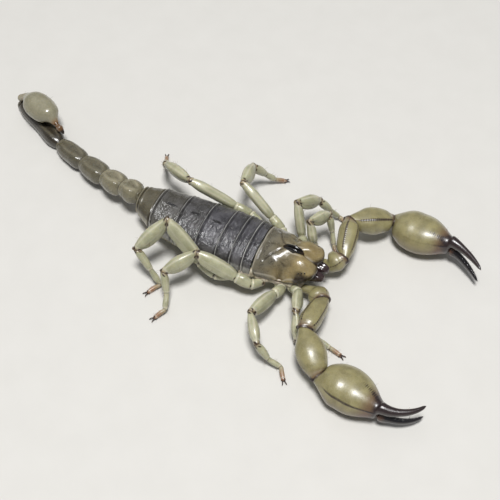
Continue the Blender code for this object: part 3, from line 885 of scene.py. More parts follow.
# --- tail ---------------------------------------------------------------------------
@dataclass
class Tail:
    """Five bead-like rings with low beaded ridges, the smooth bulb and the sting.

    A ridge is an angle from the top on either side, and a strength. The gloom_with_bulb_shadow
    is how far each ring darkens outwards from the trunk; on the fifth ring it is painted shadow of
    the bulb.
    """

    material: bpy.types.Material
    bulb_material: bpy.types.Material
    sting_material: bpy.types.Material
    ridges: tuple[tuple[float, float], ...] = (
        (34.0, 1.0), (78.0, 0.7), (128.0, 0.6), (162.0, 0.5),
    )
    ridge_width: float = 6.5
    ridge_height: float = 0.075
    bead_pitch: float = 0.36
    furrow_depth: float = 0.10
    around: int = 72
    density: int = 14
    gloom_with_bulb_shadow: tuple[float, ...] = (0.0, 0.0, 0.45, 0.60, 1.0)
    lofts: list[Loft] = field(default_factory=list)

    def ring_relief(self, length: float, number: int) -> Relief:
        """Detail of one ring.

        Args:
            length: length of the ring.
            number: 1 for the ring at the trunk, up to 5.

        Returns:
            The relief for a shell.
        """
        def relief(place: np.ndarray, angle: np.ndarray) -> dict:
            """Ridges, back furrow, rims, their pigment and painted shadow of the bulb on the fifth
            ring.

            Args:
                place: distances from the root.
                angle: angles round the piece in radians.

            Returns:
                The raised height and the amounts of masks.
            """
            over = np.abs(turn_from(angle, 90.0))
            t = place / length
            body = rise(t, 0.03, 0.16) * (1.0 - rise(t, 0.80, 0.96))
            ridge = sum(share * hump(over, at, self.ridge_width) for at, share in self.ridges)
            bead = beads(place, self.bead_pitch)
            out = body * ridge * self.ridge_height * (0.55 + 0.45 * bead)
            out -= body * self.furrow_depth * hump(over, 0.0, 22.0)
            gap = length - place
            out += 0.07 * hump(gap, 0.16, 0.10) - 0.05 * hump(gap, 0.50, 0.16)
            out += 0.10 * hump(t, 0.48, 0.24) - 0.10 * hump(t, 0.0, 0.09)
            rim = hump(gap, -0.01, 0.07)
            root = rise(place, 0.16, -0.10)
            loop = hump(over, 16.0 + 14.0 * hump(t, 0.45, 0.3), 8.0) * body
            pale = 0.45 * hump(gap, 0.17, 0.09)
            pale += (0.55 if number < 3 else 0.2) * loop
            dark = 0.45 * rim + 0.3 * root + 0.30 * body * ridge * (1.0 - bead)
            dark += 0.35 * hump(over, 0.0, 9.0) * hump(t, 0.25, 0.2)
            # darker outer rings; on the fifth ring this darkness is painted shadow of the bulb
            # lying over it
            tint = self.gloom_with_bulb_shadow[number - 1] * np.ones_like(t)
            return {"out": out, Mask.DARK: dark, Mask.PALE: pale, Mask.TINT: tint}

        return relief

    def build(self) -> None:
        """Build the rings, the bulb and the sting."""
        anchor = Vector((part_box("tergite_7")[0].x / MM, 0.0, 4.0))
        for number in range(1, len(self.gloom_with_bulb_shadow) + 1):
            node = f"tail_{number}"
            loft = Loft(node, anchor)
            bands = round(24 + loft.length * self.density)
            shell = Shell(loft, self.around, bands, neck=0.20, lip=0.22)
            clay = shell.build(self.ring_relief(loft.length, number))
            Piece(f"{node}_shell", self.material, "tail_cuticle", (node,)).cast(clay.mesh)
            self.lofts.append(loft)
            anchor = loft.end
        bulb = Loft("telson_vesicle", anchor)
        shell = Shell(bulb, self.around, 120, neck=0.15, lip=0.10)
        clay = shell.build(self.bulb_relief(bulb))
        Piece("bulb", self.bulb_material, "telson_cuticle", ("telson_vesicle",)).cast(clay.mesh)
        self.lofts.append(bulb)
        self.build_sting(bulb.end)

    @staticmethod
    def bulb_relief(loft: Loft) -> Relief:
        """Soft furrows of the bulb, and its brown neck.

        Args:
            loft: the bulb's loft.

        Returns:
            The relief for a shell.
        """
        def relief(place: np.ndarray, angle: np.ndarray) -> dict:
            """Hinge folds at the root, a shallow furrow, pigment at both ends.

            Args:
                place: distances from the root.
                angle: angles round the piece in radians.

            Returns:
                The raised height and the amounts of masks.
            """
            t = place / loft.length
            over = turn_from(angle, 90.0)
            hinge = rise(t, 0.34, 0.22)
            out = 0.05 * hinge * np.sin(place * 9.0)
            out -= 0.04 * hump(np.abs(over), 62.0, 12.0) * hump(t, 0.6, 0.25)
            neck = rise(t, 0.90, 1.0)
            drift = np.sin(place * 5.3 + 3.0 * np.sin(angle * 2.0))
            spots = rise(drift * np.sin(angle * 5.0 + place), 0.55, 1.0)
            dark = 0.45 * rise(t, 0.965, 1.01) + 0.30 * hinge * hump(place, 2.0, 0.3)
            return {
                "out": out,
                Mask.DARK: dark + 0.10 * spots,
                Mask.TINT: neck + 0.15 * hinge,
                Mask.PALE: 0.25 * hinge,
            }

        return relief

    def build_sting(self, root: Vector) -> None:
        """Build the sting: a swelling at its root and a sharp curved tip.

        Args:
            root: a point near the sting's root.
        """
        loft = Loft("sting", root)

        def relief(place: np.ndarray, angle: np.ndarray) -> dict:
            """A rounder swelling with a painted highlight, and a tip drawn to a point.

            Args:
                place: distances from the root.
                angle: angles round the piece in radians.

            Returns:
                The raised height and the amounts of masks.
            """
            t = place / loft.length
            return {
                "out": 0.08 * hump(t, 0.36, 0.16) - 0.07 * rise(t, 0.9, 1.0),
                Mask.TINT: 1.0 - rise(t, 0.45, 0.85),
                # pale on the swelling: painted highlight
                Mask.PALE: 0.25 * hump(t, 0.36, 0.10),
            }

        clay = Shell(loft, 32, 48, neck=0.2, round_end=True).build(relief)
        Piece("sting_horn", self.sting_material, "sting_horn", ("sting",)).cast(clay.mesh)


# --- pincers ------------------------------------------------------------------------
@dataclass
class Pincer:
    """One pincer arm: trochanter, femur, patella, swollen palm and two black fingers.

    A ridge is an angle from the top, above zero towards the body, and a strength.
    """

    side: Side
    material: bpy.types.Material
    horn: bpy.types.Material
    femur_ridge: tuple[float, float]
    patella_ridge: tuple[float, float]
    palm_lines: tuple[tuple[float, float], ...] = ((-62.0, 1.0), (-104.0, 0.5), (62.0, 0.45))
    palm_rings: int = 7
    dot_row: tuple[float, float] = (22.0, 1.0)
    dot_pitch: float = 0.21
    ridge_width: float = 5.0
    ridge_height: float = 0.07
    line_width: float = 3.0
    line_height: float = 0.05
    bead_pitch: float = 0.27
    tooth_pitch: float = 0.42
    tooth_height: float = 0.07
    lofts: dict[str, Loft] = field(default_factory=dict)

    def outer(self, angle: np.ndarray) -> np.ndarray:
        """Degrees from the top, above zero towards the body and below it outwards."""
        return turn_from(angle, 90.0) * self.side.value

    @staticmethod
    def lines_at(
        over: np.ndarray, ridges: Sequence[tuple[float, float]], width: float
    ) -> np.ndarray:
        """Strength of thin ridges at the given degrees from the top.

        Args:
            over: degrees from the top, as outer gives them.
            ridges: the ridges.
            width: half width of a ridge in degrees.

        Returns:
            The strength at each place.
        """
        turn = np.radians(over)
        return sum(share * hump(turn_from(turn, at), 0.0, width) for at, share in ridges)

    def arm_relief(
        self, length: float, ridges: Sequence[tuple[float, float]], beaded: float
    ) -> Relief:
        """Detail of a trochanter, femur or patella.

        Args:
            length: length of the piece.
            ridges: its dark ridges.
            beaded: how far a ridge is broken into beads, from 0 to 1.

        Returns:
            The relief for a shell.
        """
        def relief(place: np.ndarray, angle: np.ndarray) -> dict:
            """Dark beaded ridges, a dark distal rim with side knobs, pale root.

            Args:
                place: distances from the root.
                angle: angles round the piece in radians.

            Returns:
                The raised height and the amounts of masks.
            """
            over = self.outer(angle)
            t = place / length
            body = rise(t, 0.04, 0.16) * (1.0 - rise(t, 0.88, 0.98))
            ridge = self.lines_at(over, ridges, self.ridge_width)
            bead = 1.0 - beaded + beaded * beads(place, self.bead_pitch)
            knob = sum(hump(turn_from(angle, at), 0.0, 20.0) for at in (0.0, 180.0))
            out = body * ridge * self.ridge_height * bead
            gap = length - place
            out += 0.035 * hump(gap, 0.13, 0.10) - 0.03 * hump(gap, 0.42, 0.14)
            out += 0.12 * knob * hump(gap, 0.10, 0.20)
            dark = 1.3 * body * ridge * bead + 0.55 * hump(gap, 0.02, 0.05)
            dark += 0.9 * knob * hump(gap, 0.14, 0.18) + 0.20 * rise(place, 0.15, -0.05)
            pale = 0.2 * hump(gap, 0.34, 0.12) + 0.3 * rise(place, 0.0, -0.1)
            tint = 0.75 * rise(t, 0.84, 1.0) + 0.35 * np.clip(ridge, 0.0, 1.0)
            return {"out": out, Mask.DARK: dark, Mask.PALE: pale, Mask.TINT: tint}

        return relief

    def palm_relief(self, loft: Loft) -> Relief:
        """Detail of the palm and its fixed finger.

        Args:
            loft: the palm's loft.

        Returns:
            The relief for a shell.
        """
        palm = float(loft.places[self.palm_rings])

        def relief(place: np.ndarray, angle: np.ndarray) -> dict:
            """A thin dark outer ridge, a red-brown shoulder, teeth under the finger.

            Args:
                place: distances from the root.
                angle: angles round the piece in radians.

            Returns:
                The raised height and the amounts of masks.
            """
            over = self.outer(angle)
            lines = self.lines_at(over, self.palm_lines, self.line_width)
            body = rise(place, 0.3, 1.2) * (1.0 - rise(place, palm - 0.9, palm + 0.3))
            out = self.line_height * lines * body
            dots = self.lines_at(over, (self.dot_row,), 10.0)
            dots *= rise(place, palm - 4.4, palm - 2.2)
            lines = lines + 1.1 * dots * rise(beads(place, self.dot_pitch), 0.3, 0.7)
            early = 1.0 + 0.8 * hump(over, 40.0, 60.0)
            finger = rise(place, palm - 0.9 - early, palm + 0.1)
            root = rise(place, palm - 1.7, palm - 0.5)
            root *= 1.0 - rise(place, palm - 0.5, palm + 2.2)
            teeth = hump(turn_from(angle, -90.0), 0.0, 16.0) * rise(place, palm + 0.5, palm + 1.0)
            out += self.tooth_height * teeth * beads(place, self.tooth_pitch) + 0.20 * root
            out -= 0.04 * rise(place, loft.length - 0.5, loft.length)
            wrist = hump(place, 0.02, 0.10)
            dark = 1.05 * finger + 0.75 * lines * body + 0.45 * wrist
            tint = 0.80 * rise(place, palm - 2.8, palm - 1.4)
            tint += 0.5 * hump(np.abs(over), 110.0, 30.0) * body
            pale = 0.35 * rise(place, 0.1, -0.1)
            return {"out": out, Mask.DARK: dark, Mask.TINT: tint, Mask.PALE: pale}

        return relief

    def finger_relief(self, loft: Loft) -> Relief:
        """Detail of the movable finger: a row of teeth, a brown root, a sharp tip.

        Args:
            loft: the finger's loft.

        Returns:
            The relief for a shell.
        """
        def relief(place: np.ndarray, angle: np.ndarray) -> dict:
            """Beads on the inner edge and a slimmer tip.

            Args:
                place: distances from the root.
                angle: angles round the piece in radians.

            Returns:
                The raised height and the amounts of masks.
            """
            inner = hump(turn_from(angle, 90.0), 0.0, 16.0)
            teeth = inner * beads(place, self.tooth_pitch)
            out = self.tooth_height * teeth * rise(place, 0.5, 1.0)
            out += 0.22 * hump(place, 0.20, 0.55)
            out -= 0.03 * rise(place, loft.length - 0.5, loft.length)
            return {"out": out, Mask.TINT: 0.8 * (1.0 - rise(place, 0.1, 0.9))}

        return relief

    def build(self) -> None:
        """Build the arm's five pieces."""
        word = self.side.word
        anchor = Vector((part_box("coxosternum")[1].x / MM, 0.0, 2.0))
        plans = {
            "trochanter": (((-60.0, 0.4), (50.0, 0.5)), 0.5),
            "femur": ((self.femur_ridge, (-70.0, 0.8), (52.0, 0.9)), 0.85),
            "patella": (((-96.0, 0.7), self.patella_ridge), 0.75),
        }
        for part, (ridges, beaded) in plans.items():
            node = f"palp_{word}_{part}"
            loft = Loft(node, anchor)
            relief = self.arm_relief(loft.length, ridges, beaded)
            clay = Shell(loft, 72, 88, neck=0.24, lip=0.26).build(relief)
            Piece(f"{node}_shell", self.material, "claw_cuticle", (node,)).cast(clay.mesh)
            self.lofts[part] = loft
            anchor = loft.end
        node = f"palp_{word}_palm"
        palm = Loft(node, anchor)
        shell = Shell(palm, 96, 170, neck=0.25, round_end=True)
        clay = shell.build(self.palm_relief(palm))
        Piece(f"{node}_shell", self.material, "claw_cuticle", (node,)).cast(clay.mesh)
        node = f"palp_{word}_finger"
        finger = Loft(node, Vector(palm.middle(np.array([0.5]))[0]))
        shell = Shell(finger, 40, 80, neck=0.45, round_end=True)
        clay = shell.build(self.finger_relief(finger))
        Piece(f"{node}_horn", self.horn, "black_horn", (node,)).cast(clay.mesh)
        self.lofts["palm"] = palm
        self.lofts["finger"] = finger


# --- bristles -----------------------------------------------------------------------
@dataclass(frozen=True)
class Tuft:
    """How hairs stand on one kind of limb piece: number, span from 0 to 1, usual length."""

    count: int
    span: tuple[float, float] = (0.1, 0.9)
    reach: float = 0.55


@dataclass
class Bristles:
    """Sparse fine hairs on the limbs, the tail and the bulb, in one piece."""

    material: bpy.types.Material
    thickness: float = 0.018
    taper: float = 0.85
    foot: float = 0.05
    lean: float = 0.45
    fan: tuple[float, float] = (-25.0, 205.0)
    uneven: tuple[float, float] = (0.6, 1.1)
    dice: random.Random = field(default_factory=lambda: random.Random(11))
    hairs: list[Clay] = field(default_factory=list)

    def plant(self, loft: Loft, tuft: Tuft) -> None:
        """Stand hairs on a limb piece at random.

        Args:
            loft: the piece's loft.
            tuft: how its hairs stand.
        """
        for _ in range(tuft.count):
            place = self.dice.uniform(*tuft.span)
            spot, out = loft.point(place, self.dice.uniform(*self.fan))
            ahead = loft.heading(place)
            length = tuft.reach * self.dice.uniform(*self.uneven)
            hair = Clay(3, 4)
            t = hair.along[:, None]
            side = np.array(out.cross(ahead).normalized())
            core = np.array(spot) + np.array(out) * (t * length - self.foot)
            core += np.array(ahead) * self.lean * length * t * t
            ring = np.cos(hair.angle)[:, None] * np.array(ahead)
            ring += np.sin(hair.angle)[:, None] * side
            points = core + ring * self.thickness * (1.0 - self.taper * t)
            points[:, 2] = np.maximum(points[:, 2], FLOOR_LEVEL)
            hair.press(points)
            bmesh.ops.recalc_face_normals(hair.mesh, faces=hair.mesh.faces)
            self.hairs.append(hair)

    def cast(self) -> None:
        """Make the piece from all the hairs planted."""
        lump = self.hairs[0]
        for hair in self.hairs[1:]:
            lump.take(hair)
        Piece("bristles", self.material, "sting_horn").cast(lump.mesh)


# --- legs ---------------------------------------------------------------------------
@dataclass
class Leg:
    """One walking leg, from its hip to its two claws."""

    side: Side
    number: int
    material: bpy.types.Material
    ridge_height: float = 0.024
    hollow_depth: float = 0.05
    joint_depth: float = 0.08
    claw_length: float = 0.62
    claw_radius: float = 0.085
    slimness: float = 0.45
    around: int = 48
    density: int = 10
    lofts: dict[str, Loft] = field(default_factory=dict)

    @property
    def name(self) -> str:
        """The start of the leg's node names."""
        return f"leg_{self.side.word}_{self.number}"

    def relief(
        self, loft: Loft, joints: Sequence[float], ridged_from: float, foot: bool
    ) -> Relief:
        """Detail of one leg piece.

        Args:
            loft: the piece's loft.
            joints: places of the joints inside the piece, from 0 to 1.
            ridged_from: place from which the piece has ridges.
            foot: whether this is the slim outer piece.

        Returns:
            The relief for a shell.
        """
        length = loft.length
        crest = self.crest_angle(loft)

        def detail(place: np.ndarray, angle: np.ndarray) -> dict:
            """Ridges along both edges with painted highlight lines, hollow flanks, joints with
            dark knobs.

            Args:
                place: distances from the root.
                angle: angles round the piece in radians.

            Returns:
                The raised height and the amounts of masks.
            """
            t = place / length
            over = np.abs(turn_from(angle, crest))
            body = rise(t, ridged_from, ridged_from + 0.12) * (1.0 - rise(t, 0.90, 0.99))
            slim = self.slimness if foot else 1.0
            upper = hump(over, 17.0, 7.0)
            lower = hump(over, 158.0, 9.0)
            middle = hump(over, 84.0, 8.0)
            ridges = upper + 0.8 * lower + 0.4 * middle - 0.6 * hump(over, 0.0, 8.0)
            out = body * slim * self.ridge_height * ridges
            out -= body * slim * self.hollow_depth * hump(over, 118.0, 20.0)
            flank = hump(over, 90.0, 26.0)
            dark = np.zeros_like(place)
            # pale along the upper and middle ridge crests: painted highlight lines
            pale = 0.5 * body * slim * (upper + 0.5 * middle)
            for joint in joints:
                off = place - joint * length
                out -= self.joint_depth * slim * hump(off, 0.0, 0.10)
                out += 0.05 * slim * hump(off, -0.24, 0.12)
                dark = np.maximum(dark, 0.85 * flank * hump(off, 0.05, 0.10))
                dark = np.maximum(dark, 0.5 * hump(off, 0.0, 0.05))
                pale = np.maximum(pale, 0.7 * hump(off, -0.22, 0.10))
            off = place - length
            out += 0.05 * hump(off, -0.12, 0.10) + 0.06 * flank * hump(off, -0.12, 0.16)
            spots = rise(np.sin(5.0 * angle + 11.0 * place + self.number), -0.35, 0.45)
            knot = np.maximum(flank, hump(over, 0.0, 42.0) * spots)
            dark = np.maximum(dark, knot * hump(off, -0.15, 0.20))
            dark = np.maximum(dark, 0.45 * hump(off, 0.0, 0.05))
            dark = np.maximum(dark, 0.95 * knot * hump(place, 0.17, 0.17))
            pale = np.maximum(pale, 0.5 * hump(off, -0.36, 0.12))
            pale = np.maximum(pale, 0.7 * rise(place, 0.04, -0.06))
            tint = rise(t, 0.62, 0.95) if foot else 0.5 * hump(off, -0.05, 0.22)
            tint = np.maximum(tint, 0.5 * hump(place, 0.0, 0.16))
            return {"out": out, Mask.DARK: dark, Mask.PALE: pale, Mask.TINT: tint}

        return detail

    @staticmethod
    def crest_angle(loft: Loft) -> float:
        """The angle of the upper edge, where the middle ring reaches farthest up.

        Args:
            loft: the piece's loft.

        Returns:
            The angle in degrees.
        """
        angles = np.radians(np.arange(40.0, 141.0, 2.0))
        index = len(loft.centres) // 2
        reach = np.linalg.norm(loft.ring_points(index, angles) - loft.centres[index], axis=1)
        return float(np.degrees(angles[int(np.argmax(reach))]))

    def build(self) -> None:
        """Build the three shells and the claws."""
        anchor = Vector((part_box("coxosternum")[1].x / MM - 3.0, 0.44, 2.0))
        plans = {
            "femur": ((1, 3), 3, False),
            "patella": ((), 0, False),
            "foot": ((3, 5), 0, True),
        }
        for part, (joints, ridged, foot) in plans.items():
            node = f"{self.name}_{part}"
            loft = Loft(node, anchor)
            places = [loft.at(i) for i in joints]
            start = loft.at(ridged) if ridged else 0.05
            bands = round(30 + loft.length * self.density)
            shell = Shell(loft, self.around, bands, neck=0.18, lip=0.14, round_end=foot)
            clay = shell.build(self.relief(loft, places, start, foot))
            if foot:
                self.add_claws(clay, loft)
            Piece(f"{node}_shell", self.material, "leg_cuticle", (node,)).cast(clay.mesh)
            self.lofts[part] = loft
            anchor = loft.end

    def add_claws(self, clay: Clay, loft: Loft) -> None:
        """Add the two curved claws at the end of the foot.

        Args:
            clay: the foot, which takes the claws in.
            loft: the foot's loft.
        """
        forward = loft.heading(0.98)
        forward.z = 0.0
        forward.normalize()
        left = Vector((-forward.y, forward.x, 0.0))
        root = loft.end - forward * 0.12
        for lean in (-1.0, 1.0):
            claw = Clay(8, 10)
            t = claw.along
            radius = self.claw_radius * (1.0 - t) ** 0.6 + 0.008
            reach = np.sin(t * 1.5) * self.claw_length
            aside = lean * (0.08 + 0.22 * t) + radius * np.cos(claw.angle)
            points = np.array(root) + np.outer(reach, forward) + np.outer(aside, left)
            arch = (0.25 + 0.30 * np.sin(t * 2.4) - 0.42 * t) * 0.9
            points[:, 2] = np.maximum(arch + radius * np.sin(claw.angle), FLOOR_LEVEL)
            claw.press(points)
            claw.paint(Mask.DARK, 0.75 * np.ones_like(t))
            clay.take(claw)


# --- head ---------------------------------------------------------------------------
@dataclass
class Head:
    """The head shield with its two front lobes, eye ridges, side eyes and jaws.

    On the shield, x is 0 at its front and falls towards its rear, and y is 0 on its middle
    line. The lobe dome is the place along, the place across and the height.
    """

    material: bpy.types.Material
    eye_material: bpy.types.Material
    horn: bpy.types.Material
    narrowing: float = 0.36
    lobe_centre: float = 1.00
    lobe_start: float = -3.40
    lobe_front: float = -0.80
    notch: float = -1.35
    edge_rear: float = 3.14
    edge_rise: float = 0.03
    edge_sweep: tuple[float, float] = (-4.2, 0.9)
    lip: float = 0.22
    crest: float = 5.85
    lobe_dome: tuple[float, float, float] = (-2.75, 1.35, 0.24)
    spine: tuple[float, float] = (-7.1, -1.9)
    around: int = 264
    bands: int = 64
    merge_gap: float = 0.004
    cuts: tuple[tuple[str, float], ...] = (
        ("middle", 0.16), ("rear", 0.15), ("side", 0.07), ("rim", 0.10), ("border", 0.08),
        ("crease", 0.34),
    )
    mound_height: float = 0.30
    eye_centre: tuple[float, float] = (-4.30, 0.25)
    eye_size: tuple[float, float, float] = (1.20, 0.22, 0.30)
    lens_size: tuple[float, float, float] = (0.26, 0.20, 0.34)
    side_eye_size: tuple[float, float, float] = (0.14, 0.13, 0.13)

    def __post_init__(self) -> None:
        """Place the shield from the CAD node's box."""
        low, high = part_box("carapace")
        self.front = high.x / MM - self.lobe_front
        self.middle = (low.y + high.y) / (2.0 * MM)
        self.half = (high.y - low.y) / (2.0 * MM)
        self.length = (high.x - low.x) / MM - self.lobe_front + 0.05

    def half_width(self, x: np.ndarray) -> np.ndarray:
        """Half width of the shield at a place behind its front."""
        ahead = 1.0 - np.clip(-x / self.length, 0.0, 1.0)
        return self.half * (1.0 - self.narrowing * ahead**1.2)

    def edge(self, x: np.ndarray) -> np.ndarray:
        """Height of the shield's lower edge, which sweeps up under the front lobes.

        Args:
            x: places along the shield.

        Returns:
            The height at each place.
        """
        start, sweep = self.edge_sweep
        ahead = np.clip((x - start) / (self.lobe_front - start), 0.0, None)
        return self.edge_rear + self.edge_rise * (x + self.length) + sweep * ahead**1.5

    def outline(self) -> np.ndarray:
        """Evenly spaced points of the plan outline, from the rear middle round to the left.

        Returns:
            One row with x and y for each point.
        """
        rear = -self.length
        corner = 0.75
        t = np.linspace(0.0, 1.0, 40)
        side_x = rear + corner + (self.lobe_start - 0.3 - rear - corner) * t
        quarter = np.sin(math.pi / 2.0 * t)
        other = np.cos(math.pi / 2.0 * t)
        side_end = self.half_width(np.array([rear + corner]))[0]
        wide = self.half_width(np.array([self.lobe_start]))[0] - self.lobe_centre
        front, notch = self.lobe_front, self.notch
        parts = [
            (rear + 0.10 - 0.06 * np.sin(math.pi * t), (side_end - corner) * t),
            (rear + 0.10 + (corner - 0.10) * (1.0 - other), side_end - corner * (1.0 - quarter)),
            (side_x, self.half_width(side_x)),
            (self.lobe_start + (front - self.lobe_start) * quarter,
             self.lobe_centre + wide * other**1.1),
            (front + (notch - front) * t**2, self.lobe_centre * (1.0 - t)),
        ]
        half = np.concatenate([np.stack(part, axis=1) for part in parts])
        whole = np.concatenate([half, half[::-1] * (1.0, -1.0)])
        steps = np.linalg.norm(np.diff(whole, axis=0), axis=1)
        run = np.concatenate([[0.0], np.cumsum(steps)])
        even = np.linspace(0.0, run[-1], self.around, endpoint=False)
        return np.stack([np.interp(even, run, whole[:, k]) for k in range(2)], axis=1)

    def top(self, x: np.ndarray, y: np.ndarray) -> np.ndarray:
        """Height of the shield's main form.

        Args:
            x: places along the shield.
            y: places across it.

        Returns:
            The height at each place.
        """
        half = self.half_width(x)
        edge = self.edge(x) + self.lip
        crest = self.crest - 0.45 * np.clip((-x - 4.5) / (self.length - 4.5), 0.0, None) ** 2
        crest = crest - 0.55 * np.clip((x + 3.6) / 3.6, 0.0, None) ** 2
        reach = np.clip(np.abs(y) / half, 0.0, 1.0)
        lobes = np.clip((x + 4.4) / 1.2, 0.0, 1.0)
        vault = (crest - edge) * (1.0 - reach ** (2.4 + lobes)) ** 0.75
        ahead = np.clip((x + 3.5) / (self.lobe_front + 3.5), 0.0, 1.0)
        nose = (1.0 - ahead**3.0) ** 0.5
        depth = 0.08 + 0.52 * np.clip((x + 3.6) / 1.6, 0.0, 1.0)
        groove = depth * hump(y, 0.0, 0.46)
        crease = 0.55 * reach * hump(x, -4.55, 0.55)
        return edge + np.maximum(0.0, (vault - groove - crease) * nose)

    def furrows(self, x: np.ndarray, y: np.ndarray) -> dict[str, np.ndarray]:
        """Strength of each furrow at places on the shield.

        Args:
            x: places along the shield.
            y: places across it.

        Returns:
            The strength of each furrow, by name.
        """
        side = np.abs(y)
        half = self.half_width(x)
        curl = 0.42 + 1.9 * rise(-x, 5.4, 7.2) ** 1.3
        middle = rise(x, -7.6, -7.2) * (1.0 - 0.6 * rise(x, -3.2, -2.4))
        rear = rise(-x, 5.2, 5.6) * (1.0 - rise(-x, 7.0, 7.4))
        return {
            "middle": hump(y, 0.0, 0.09) * middle,
            "rear": hump(side - curl, 0.0, 0.20) * rear,
            "side": hump(side - (0.55 * half + 0.25 * (x + 5.0)), 0.0, 0.14) * hump(x, -4.6, 1.1),
            "rim": hump(half - side, 0.26, 0.09) * (1.0 - rise(x, -2.6, -1.8)),
            "border": hump(x + self.length, 0.52, 0.10),
            "crease": hump(x, -4.75, 0.42) * rise(side / half, 0.30, 0.85),
        }

    def mound(self, x: np.ndarray, y: np.ndarray) -> np.ndarray:
        """Height of the low rise that carries the middle eyes."""
        return self.mound_height * hump(x, self.eye_centre[0], 1.35) * hump(y, 0.0, 0.62)

    def detail(self, x: np.ndarray, y: np.ndarray) -> np.ndarray:
        """Height that the mound, furrows and swellings add to the shield's main form.

        Args:
            x: places along the shield.
            y: places across it.

        Returns:
            The height to add at each place.
        """
        side = np.abs(y)
        furrow = self.furrows(x, y)
        cut = sum(depth * furrow[name] for name, depth in self.cuts)
        swelling = 0.14 * hump(x, -6.2, 1.0) * hump(side, 2.1, 0.8)
        dome_x, dome_y, height = self.lobe_dome
        off = np.hypot((x - dome_x) / 1.15, (side - dome_y) / 0.95)
        swelling += height * hump(off, 0.0, 1.0)
        dip = 0.16 * hump(y, 0.0, 0.34) * rise(x, -3.7, -2.9)
        wave = 0.05 * np.sin(x * 2.3 + 1.0) * np.sin(side * 2.9)
        return self.mound(x, y) - cut + swelling - dip + wave

    def pigment(
        self, x: np.ndarray, y: np.ndarray, wall: np.ndarray, inner: np.ndarray
    ) -> dict[Mask, np.ndarray]:
        """Amounts of the masks over the shield.

        Args:
            x: places along the shield.
            y: places across it.
            wall: 0 on the underside of the rim and 1 above it.
            inner: 0 on the rim and 1 inside it.

        Returns:
            The amount of each mask.
        """
        side = np.abs(y)
        margin = self.half_width(x) - side
        furrow = self.furrows(x, y)
        lobe = np.hypot((x - self.lobe_dome[0]) / 1.15, side - 1.25)
        front = rise(x, -3.6, -2.6)
        rear_side = rise(side, 0.9, 1.7) * rise(-x, 5.0, 6.2)
        boat = 1.0 - ((x - self.eye_centre[0]) / 1.34) ** 2 - (y / 0.46) ** 2
        contour = np.hypot((x + 2.55) / 1.75, (side - 1.25) / 1.40)
        dark = 0.22 * front * rise(lobe, 0.85, 1.9) + 0.55 * front * rise(contour, 0.68, 1.20)
        # the crease term is painted shade in the crease behind the lobes; the boat is the black
        # eye mound
        dark += 1.2 * rise(boat, -0.08, 0.12) + 0.34 * furrow["crease"]
        dark += 0.22 * hump(x, -5.9, 1.0) * hump(side, 2.6, 0.9)
        # (1 - wall) darkens the rim's side wall and underside: painted shade under the rim
        dark += 0.42 * furrow["rear"] + 0.6 * (1.0 - wall)
        dark += 0.30 * furrow["side"] + 0.40 * hump(side, 2.3, 0.30) * hump(x, -2.4, 0.6)
        dark += 0.20 * hump(x, -4.2, 1.6) * hump(side, 0.85, 0.35)
        # pale line along the front of the middle groove: pale skin there and a painted highlight
        # on its edge
        pale = 0.75 * hump(y, 0.0, 0.13) * rise(x, -3.1, -2.4)
        pale += 0.6 * hump(margin, 0.13, 0.07) * inner
        pale += 0.55 * hump(x + self.length, 0.16, 0.10)
        # pale rim beside the eye mound: pale ridge edge and a painted highlight
        pale += 0.65 * hump(x, -4.1, 1.1) * hump(side, 0.60, 0.08)
        tint = 0.62 * rise(-x, 3.1, 4.6) + 0.38 * rise(-x, 5.6, 7.4)
        tint += 0.4 * rear_side - 0.5 * hump(margin, 0.5, 0.5)
        return {Mask.DARK: dark, Mask.PALE: pale, Mask.TINT: tint}

    def shield(self) -> None:
        """Build the head shield."""
        clay = Clay(self.around, self.bands)
        plan = self.outline()
        share = np.mod(clay.angle / (2.0 * math.pi), 1.0)
        spot = np.round(share * self.around).astype(int) % self.around
        rim_x, rim_y = plan[spot, 0], plan[spot, 1]
        pull = np.clip((clay.along - 0.10) / 0.90, 0.0, 1.0) ** 1.15
        tuck = np.clip(1.0 - clay.along / 0.05, 0.0, 1.0)
        spine_x = np.clip(rim_x, *self.spine)
        x = rim_x + (spine_x - rim_x) * (pull + 0.08 * tuck)
        y = rim_y * (1.0 - pull - 0.08 * tuck)
        wall = rise(clay.along, 0.03, 0.10)
        inner = rise(pull, 0.0, 0.05)
        low = self.edge(rim_x)
        top = self.top(x, y)
        z = np.where(pull > 0.0, top, low + (top - low) * wall)
        z += inner * self.detail(x, y)
        clay.press(np.stack([x + self.front, y + self.middle, z], axis=1))
        for mask, amount in self.pigment(x, y, wall, inner).items():
            clay.paint(mask, amount)
        bmesh.ops.remove_doubles(clay.mesh, verts=clay.mesh.verts, dist=self.merge_gap)
        bmesh.ops.recalc_face_normals(clay.mesh, faces=clay.mesh.faces)
        Piece("head_shield", self.material, "carapace_shell", ("carapace",)).cast(clay.mesh)

    def dome(
        self, centre: tuple[float, float], size: tuple[float, float, float], sink: float
    ) -> Clay:
        """A glossy dome that sits on the shield.

        Args:
            centre: its place on the shield.
            size: half length, half width and height.
            sink: how deep its foot is below the shield's surface.

        Returns:
            The dome.
        """
        clay = Clay(32, 14)
        bow = clay.along * math.pi / 2.0
        x = centre[0] + size[0] * np.cos(bow) * np.cos(clay.angle)
        y = centre[1] + size[1] * np.cos(bow) * np.sin(clay.angle)
        base = self.top(np.full_like(x, centre[0]), np.full_like(y, centre[1]))
        lean = self.top(x, y) - base
        z = base + lean * np.cos(bow) + self.mound(x, y) - sink + (size[2] + sink) * np.sin(bow)
        clay.press(np.stack([x + self.front, y + self.middle, z], axis=1))
        return clay

